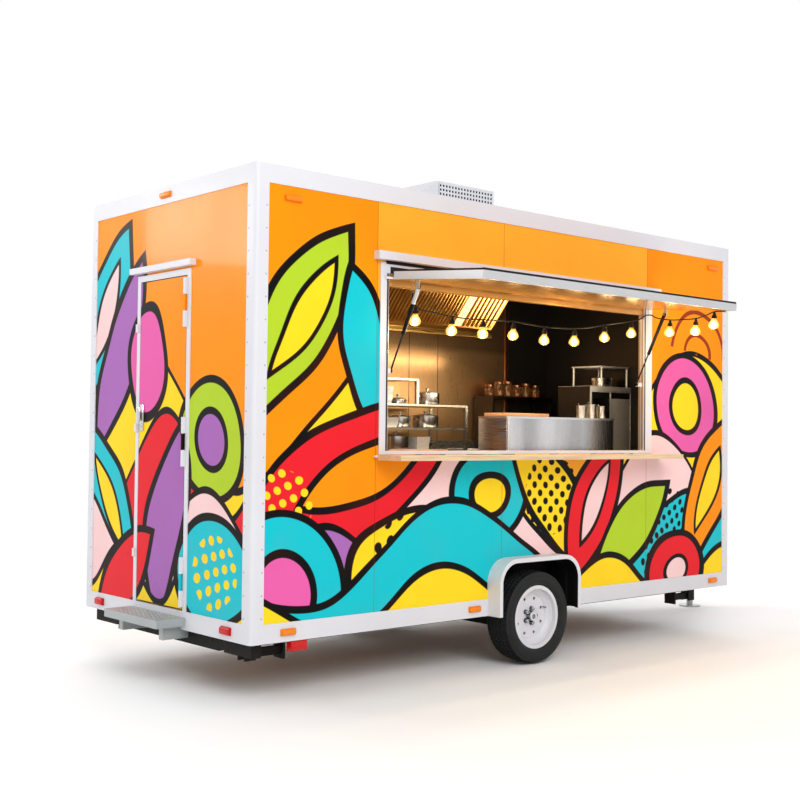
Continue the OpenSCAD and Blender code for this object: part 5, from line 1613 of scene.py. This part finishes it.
@dataclass
class RunningGear:
    """Wheels with tread, hubs, axle, chassis, drawbar, jack and steadies."""

    tyre_radius: float = 0.288
    tread_half: float = 0.074
    tread_depth: float = 0.006
    tiles: int = 72
    skin: float = 0.0045
    lip: float = 0.0265
    hole: float = 0.026
    corner: float = 0.15
    lugs: int = 5
    lug_circle: float = 0.0456

    def arch(self, shrink: float, steps: int = 10) -> List[Pair]:
        """The fender's line in the side view, from its rear foot over the top to its front foot.

        Args:
            shrink: how far inside the fender's outer face.
            steps: faces round a corner.

        Returns:
            Points of (x, z).
        """
        low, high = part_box("fender_right")
        radius = self.corner - shrink
        line = [(low.x + shrink, low.z)]
        for centre, start in ((low.x + self.corner, math.pi), (high.x - self.corner, QUARTER)):
            line += [(centre + radius * math.cos(angle), high.z - self.corner + radius * math.sin(angle))
                     for angle in (start - QUARTER * i / steps for i in range(steps + 1))]
        return line + [(high.x - shrink, low.z)]

    def wheel_arch(self, side: str, out: Vector, art: Finish) -> None:
        """A black sheet under the fender, and painted corners where the wall's square hole shows past it.

        Args:
            side: "left" or "right".
            out: the direction of the wheel's outer face.
            art: the wall's finish.
        """
        dress_node(f"fender_{side}", FENDER)
        wall = min(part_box(f"wall_{side}"), key=lambda corner: -corner.y * out.y).y
        maker = Maker(f"arch_black_sheet_{side}")
        sheet, lip_sheet = self.skin + 0.002, self.lip + 0.0015
        for outer, inner, near, far in ((self.skin, sheet, 0.0005, 0.08), (self.lip, lip_sheet, 0.08, 0.104),
                                        (self.skin, self.lip, 0.0005, 0.002),
                                        (self.lip, lip_sheet, -0.045, 0.002)):
            maker.band(self.arch(outer), self.arch(inner), (wall + out.y * near, wall + out.y * far))
        maker.piece("trailer", "black_steel", DARK)
        maker = Maker(f"arch_corners_{side}")
        low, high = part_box("fender_right")
        radius, steps = self.corner - 0.002, 12
        meet = math.acos((self.corner - self.hole) / radius)
        for sign, centre in ((-1, low.x + self.corner), (1, high.x - self.corner)):
            angles = [meet + (QUARTER - meet) * i / steps for i in range(steps + 1)]
            arc = [(centre + sign * radius * math.cos(angle), high.z - self.corner + radius * math.sin(angle))
                   for angle in angles]
            maker.band(arc, [(x, high.z) for x, _ in arc], (wall - out.y * 0.003, wall))
        maker.piece("trailer", "mural_panel", art)

    def tyre(self, side: str, out: Vector) -> None:
        """A tyre with raised tread blocks and a rounded sidewall.

        Args:
            side: "left" or "right".
            out: the direction of the wheel's outer face.
        """
        low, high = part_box(f"tyre_{side}")
        centre = (low + high) / 2
        half = (high.y - low.y) / 2
        base = self.tyre_radius - self.tread_depth
        ribs = (-1.0, -0.62, -0.56, -0.22, -0.16, 0.16, 0.22, 0.56, 0.62, 1.0)
        tread = [(base - 0.006 * abs(share) ** 3, share * self.tread_half) for share in ribs]
        wall = [(0.276, 0.081), (0.266, 0.0865), (0.25, 0.0912), (0.232, half), (0.215, 0.0912),
                (0.2052, 0.086), (0.2048, 0.0835), (0.2, 0.0805), (0.194, 0.077), (0.19, 0.07),
                (0.181, 0.069)]
        inner_wall = [(r, -h) for r, h in reversed(wall)]
        profile = inner_wall + tread + wall + inner_wall[:1]
        maker = Maker(f"tread_tyre_{side}")
        maker.turned(profile, centre, out, self.tiles)
        for radius, height in ((0.252, 0.0906), (0.221, 0.0918)):
            maker.hoop(centre + out * height, out, radius, 0.0014, self.tiles, 6)
        blocks = [face for face in maker.mesh.faces
                  if abs((face.calc_center_median() - centre).dot(out)) < self.tread_half
                  and self.away(face, centre, out) > base - 0.008
                  and abs(face.verts[0].co.y - face.verts[2].co.y) > 0.02]
        bmesh.ops.inset_individual(maker.mesh, faces=blocks, thickness=0.0022,
                                   depth=self.tread_depth - 0.0005)
        maker.piece(f"wheel_{side}", "tyre_rubber", TYRE, replaces=(f"tyre_{side}",), sharp=30.0)

    @staticmethod
    def away(face: bmesh.types.BMFace, centre: Vector, out: Vector) -> float:
        """A face's distance from the wheel's axis."""
        offset = face.calc_center_median() - centre
        return (offset - out * offset.dot(out)).length

    def hub(self, side: str, out: Vector) -> None:
        """Chrome hub cap, lug nuts and valve, and the rim's rolled edge and dish.

        Args:
            side: "left" or "right".
            out: the direction of the wheel's outer face.
        """
        low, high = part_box(f"tyre_{side}")
        centre = (low + high) / 2
        face = centre + out * 0.014
        maker = Maker(f"rim_dish_{side}")
        maker.turned([(0.1375, 0.0), (0.1385, 0.003), (0.15, 0.012), (0.16, 0.02), (0.1645, 0.031),
                      (0.172, 0.032), (0.172, 0.0), (0.1375, 0.0)], face, out, 64)
        maker.turned([(0.178, 0.066), (0.181, 0.0715), (0.187, 0.0745), (0.1925, 0.0735), (0.1932, 0.0712),
                      (0.188, 0.0702), (0.178, 0.066)], centre, out, 64)
        maker.piece(f"wheel_{side}", "white_paint", WHITE)
        maker = Maker(f"hub_chrome_{side}")
        maker.turned([(0.0, 0.0395), (0.012, 0.039), (0.021, 0.0365), (0.0265, 0.031), (0.0285, 0.024),
                      (0.0285, 0.004), (0.034, 0.0015), (0.034, 0.0)], face, out, 28)
        for angle in (TURN * index / self.lugs for index in range(self.lugs)):
            at = face + Vector((math.cos(angle), 0, -math.sin(angle))) * self.lug_circle
            maker.rod(at, at + out * 0.004, 0.0165, 18, 0.0145)
            maker.rod(at + out * 0.004, at + out * 0.021, 0.0125, 6)
            maker.rod(at + out * 0.021, at + out * 0.0262, 0.0118, 12, 0.005)
        valve = face + Vector((0.12, 0, 0.045))
        maker.rod(valve, valve + out * 0.03, 0.004, 10)
        maker.piece(f"wheel_{side}", "zinc_steel", HUB)

    def build(self) -> None:
        """Builds and dresses the running gear."""
        for side, out, art in (("right", -LEFT, RIGHT_WALL), ("left", LEFT, LEFT_WALL)):
            self.tyre(side, out)
            dress_node(f"rim_{side}", WHITE)
            self.hub(side, out)
            self.wheel_arch(side, out, art)
        for node in ("chassis_frame", "cross_members", "drawbar", "axle_beam", "jack_tube", "steady_rr",
                     "steady_rl", "steady_fr", "steady_fl"):
            dress_node(node, CHASSIS)
        dress_node("coupler", ZINC)
        dress_node("jack_leg", ZINC)


@dataclass
class Kitchen:
    """Counter, hood, rack and what stands on them; lamps are placed from the hood's back."""

    pitch: Pair = (0.046, 0.034)
    ribs: Pair = (0.024, 0.02)
    bank: int = 7
    strip: float = 0.078
    unit_corner: float = 0.1
    unit_lip: float = 0.004
    unit_rim: float = 0.014
    lamps: Tuple[SoftBox, ...] = (
        SoftBox("kitchen_light", (-0.5, -1.1, 2.69), (-0.5, -0.9, 0.0), (2.4, 0.4), 22.0, WARM),
        SoftBox("rack_light", (-1.35, -1.5, 2.15), (-0.35, -0.3, 1.4), (0.5, 0.5), 7.0, MILD),
        SoftBox("filter_light", (0.3, -1.35, 1.75), (-0.1, -0.25, 2.45), (1.6, 0.2), 8.0, WARM),
        SoftBox("hood_light", (0.25, -0.25, 1.975), (0.25, 0.0, 1.97), (0.62, 0.05), 0.62, WARM),
        SoftBox("bank_light", (1.2, -0.45, 1.9), (0.6, -0.3, 2.47), (0.6, 0.5), 1.3, WARM, 50.0))

    def furniture(self) -> None:
        """Dresses the fixed furniture."""
        for node in ("back_counter", "counter_legs", "counter_shelf", "shelf_rack"):
            dress_node(node, STAINLESS)
        dress_node("hood", HOOD)
        dress_node("jar_shelf", DARK_METAL)
        dress_node("cabinet", DARK_PANEL)

    def cabinet_front(self) -> None:
        """Doors, edge strips and a top rim on the cabinet's side towards the opening."""
        low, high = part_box("cabinet")
        middle, back = low.x + (high.x - low.x) * 0.5, low.y + 0.001
        door_z = (low.z + 0.1, high.z - 0.09)
        maker = Maker("cabinet_front")
        maker.block((middle + 0.012, low.y - 0.004, door_z[0]), (high.x - 0.006, back, door_z[1]), 0.0015)
        for x, wide in ((low.x, 0.018), (middle - 0.008, 0.014), (high.x - 0.004, 0.004)):
            maker.block((x, low.y - 0.006, low.z), (x + wide, back, high.z - 0.001), 0.0015)
        maker.block((low.x, low.y - 0.008, high.z - 0.044), (high.x, back, high.z), 0.002)
        maker.block((low.x, back, high.z - 0.001), (high.x, high.y, high.z + 0.002), 0.001)
        maker.finish = 1
        maker.block((low.x + 0.022, low.y - 0.004, door_z[0]), (middle - 0.012, back, door_z[1]), 0.0015)
        maker.piece("trailer", "stainless", TUB, DARK_METAL)

    def front_unit(self) -> None:
        """The steel unit by the opening, with a round front corner and a rolled top rim."""
        low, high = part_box("front_unit")
        maker = Maker("front_unit_sheet")
        big, lip, top = self.unit_corner, self.unit_lip, high.z - self.unit_rim
        outline = [(low.x, high.y), (low.x, low.y + 0.012), (low.x + 0.004, low.y + 0.004),
                   (low.x + 0.012, low.y)]
        outline += [(high.x - big + big * math.sin(angle), low.y + big - big * math.cos(angle))
                    for angle in (QUARTER * step / 10 for step in range(11))]
        outline.append((high.x, high.y))
        maker.prism(outline, low.z, top)
        middle = (low.x + high.x) / 2
        maker.finish = 1
        rim = [(x + math.copysign(lip, x - middle), y - (lip if y < high.y else 0.0)) for x, y in outline]
        maker.prism(rim, top, high.z)
        maker.block((low.x - 0.001, low.y - 0.001, low.z), (low.x + 0.014, low.y + 0.014, top + 0.001), 0.004)
        maker.finish = 2
        maker.block((low.x - 0.0015, low.y + 0.014, low.z + 0.002),
                    (low.x + 0.001, high.y - 0.002, top - 0.001), 0.0005)
        maker.piece("trailer", "stainless", UNIT, EDGE, UNIT_END, replaces=("front_unit",))

    def hood_filters(self) -> None:
        """Two banks of baffle filters on the hood's slope, the first in painted highlight, a lamp strip
        between them, and the lip's rail in painted highlight.
        """
        low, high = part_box("hood")
        foot = Vector((0, high.y - 0.086, low.z + 0.064))
        slope = Vector((0, low.y, high.z)) - foot
        normal = Vector((0, -slope.z, slope.y)).normalized()
        turn = Matrix((FRONT, slope.normalized(), FRONT.cross(slope.normalized()))).transposed().to_4x4()
        maker = Maker("hood_filters")
        x, count = high.x - 0.03, 0
        while x > low.x + 0.05:
            flat, first = count == self.bank, count < self.bank
            # The first bank takes the painted highlight copy of the filter steel.
            maker.finish = 1 if flat else 2 if first else 0
            wide = self.strip if flat else self.ribs[0 if first else 1]
            at = foot + slope * 0.5 + FRONT * (x - wide / 2) + normal * 0.004
            size = Matrix.Diagonal((wide, slope.length * 0.95, 0.014, 1))
            maker.cube(Matrix.Translation(at) @ turn @ size, 0.005)
            x -= self.strip + 0.02 if flat else self.pitch[0 if first else 1]
            count += 1
        # The lip's rail in painted highlight gold.
        maker.finish = 3
        maker.block((low.x, foot.y - 0.008, low.z - 0.004), (high.x, foot.y + 0.004, low.z + 0.036), 0.004)
        maker.piece("trailer", "stainless", FILTER, LAMP_STRIP, FILTER_HIGHLIGHT, HOOD_LIP_HIGHLIGHT)

    @staticmethod
    def footing(low: Vector, high: Vector) -> Tuple[Vector, float, float]:
        """The middle of a round thing's foot, its radius and its height."""
        return Vector((*((low + high) / 2).xy, low.z)), (high.x - low.x) / 2, high.z - low.z

    def vessel(self, maker: Maker, low: Vector, high: Vector) -> None:
        """A lidded pot with a rolled rim, a knob and two handles.

        Args:
            maker: the mesh being built.
            low: lowest corner of its place.
            high: highest corner of its place.
        """
        foot, radius, height = self.footing(low, high)
        r, wall = radius - 0.004, height - 0.036
        lid = [(r + 0.003, 0.001), (r - 0.002, 0.003), (r * 0.75, 0.009), (r * 0.3, 0.013), (0.007, 0.014),
               (0.007, 0.02), (0.014, 0.026), (0.014, 0.032), (0.008, 0.036), (0, 0.036)]
        maker.turned([(0, 0), (r - 0.012, 0), (r - 0.003, 0.004), (r, 0.014), (r, wall - 0.004),
                      (r + 0.003, wall - 0.002)] + [(across, wall + up) for across, up in lid], foot, UP, 32)
        for sign in (-1, 1):
            at = foot + FRONT * sign * (r - 0.002) + UP * (wall * 0.72)
            maker.hoop(at, UP, 0.02, 0.0035, 14, 6)

    def jar(self, maker: Maker, low: Vector, high: Vector) -> None:
        """A glass jar with its fill and a screw lid.

        Args:
            maker: the mesh being built.
            low: lowest corner of its place.
            high: highest corner of its place.
        """
        foot, r, height = self.footing(low, high)
        wall = height - 0.03
        glass = [(0, 0), (r - 0.006, 0), (r - 0.001, 0.005), (r, 0.012), (r, wall - 0.012),
                 (r - 0.006, wall - 0.003), (r - 0.008, wall), (0, wall)]
        fill = [(0, 0.004), (r - 0.004, 0.004), (r - 0.003, wall * 0.7), (0, wall * 0.72)]
        lid = [(0, wall), (r - 0.005, wall), (r - 0.004, wall + 0.003), (r - 0.004, wall + 0.02),
               (r - 0.008, wall + 0.024), (0, wall + 0.025)]
        for finish, profile, steps in ((2, glass, 24), (3, fill, 20), (4, lid, 24)):
            maker.finish = finish
            maker.turned(profile, foot, UP, steps)

    def cup(self, maker: Maker, low: Vector, high: Vector) -> None:
        """A steel cup with a flared rim and a spoon.

        Args:
            maker: the mesh being built.
            low: lowest corner of its place.
            high: highest corner of its place.
        """
        foot, r, height = self.footing(low, high)
        maker.turned([(0, 0), (r * 0.78, 0), (r * 0.82, 0.003), (r * 0.94, height * 0.8), (r, height * 0.84),
                      (r, height * 0.86), (r * 0.9, height * 0.85), (r * 0.76, 0.012), (0, 0.01)],
                     foot, UP, 26)
        maker.rod(foot + Vector((0.01, 0.0, 0.02)), foot + Vector((-0.024, 0.008, height - 0.001)), 0.003, 8)

    def cookware(self) -> None:
        """Pots, jars, cups and boards in place of their plain solids."""
        maker = Maker("pots_jars_and_cups")
        jar_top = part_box("jar_shelf")[1].z
        unit_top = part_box("front_unit")[1].z
        for low, high in solid_boxes("cookware"):
            maker.finish = 0
            if high.z - low.z < 0.05:
                maker.finish = 1
                maker.block(low, high, 0.006, 3)
            elif abs(low.z - jar_top) < 0.01:
                self.jar(maker, low, high)
            elif abs(low.z - unit_top) < 0.03:
                self.cup(maker, low, high)
            else:
                self.vessel(maker, low, high)
        maker.piece("trailer", "stainless", POT, BOARD, JAR_GLASS, SPICE, COVER, replaces=("cookware",))

    def tray(self, maker: Maker, low: Point, high: Point, taper: float = 0.012) -> None:
        """An open tub with sloping sides and a turned-out lip.

        Args:
            maker: the mesh being built.
            low: lowest corner of its place.
            high: highest corner of its place.
            taper: how far the foot draws in on each side.
        """
        verts = maker.block(low, high)
        bottom = [vert for vert in verts if vert.co.z < low[2] + 1e-4]
        middle = (Vector(low) + Vector(high)) / 2
        for vert in bottom:
            vert.co.x += math.copysign(taper, middle.x - vert.co.x)
            vert.co.y += math.copysign(taper, middle.y - vert.co.y)
        upper = set(verts) - set(bottom)
        top = [face for face in maker.mesh.faces if upper.issuperset(face.verts)]
        bmesh.ops.inset_region(maker.mesh, faces=top, thickness=0.006)
        bmesh.ops.inset_region(maker.mesh, faces=top, thickness=0.004, depth=-(high[2] - low[2]) * 0.8)
        maker.mark()

    def tubs(self) -> None:
        """Steel tubs on the counter and rack, a dish, a wooden edge and a wire stand on the cabinet."""
        maker = Maker("tubs_and_dish")
        edge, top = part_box("back_counter")[0].y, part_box("counter_legs")[1].z + 0.04
        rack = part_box("shelf_rack")[0].x
        self.tray(maker, (-0.365, edge + 0.03, top), (-0.24, edge + 0.16, top + 0.12))
        self.tray(maker, (rack + 0.03, edge + 0.06, top + 0.185), (rack + 0.19, edge + 0.26, top + 0.255))
        self.tray(maker, (rack + 0.02, edge + 0.05, top + 0.35), (rack + 0.13, edge + 0.22, top + 0.47))
        maker.turned([(0.0, 0.004), (0.09, 0.004), (0.14, 0.03), (0.15, 0.034), (0.152, 0.031), (0.1, 0.0),
                      (0.0, 0.0)], (0.29, edge + 0.19, top), UP, 40)
        low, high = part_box("cabinet")
        for x in (low.x + 0.16, high.x - 0.02):
            for y in (low.y + 0.02, high.y - 0.02):
                maker.rod((x, y, high.z), (x, y, high.z + 0.15), 0.008, 12)
        maker.block((low.x + 0.145, low.y + 0.01, high.z + 0.15),
                    (high.x - 0.005, high.y - 0.01, high.z + 0.162), 0.003)
        maker.finish = 1
        maker.block((-0.64, edge + 0.001, top), (-0.09, edge + 0.02, top + 0.034), 0.003)
        maker.piece("trailer", "stainless", TUB, BOARD)

    def build(self) -> None:
        """Builds the kitchen and its warm lamps."""
        self.furniture()
        self.cabinet_front()
        self.front_unit()
        self.hood_filters()
        self.cookware()
        self.tubs()
        for lamp in self.lamps:
            lamp.build(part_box("hood")[1].y)


def main() -> None:
    """Builds every sub-assembly in order."""
    logging.basicConfig(level=logging.INFO, format="%(name)s: %(message)s")
    Studio().build()
    lights = StringLights()
    lights.build()
    BodyShell().build()
    Lamps().build()
    RearDoor().build()
    ServingHatch(lights).build()
    RunningGear().build()
    Kitchen().build()


if __name__ == "__main__":
    main()
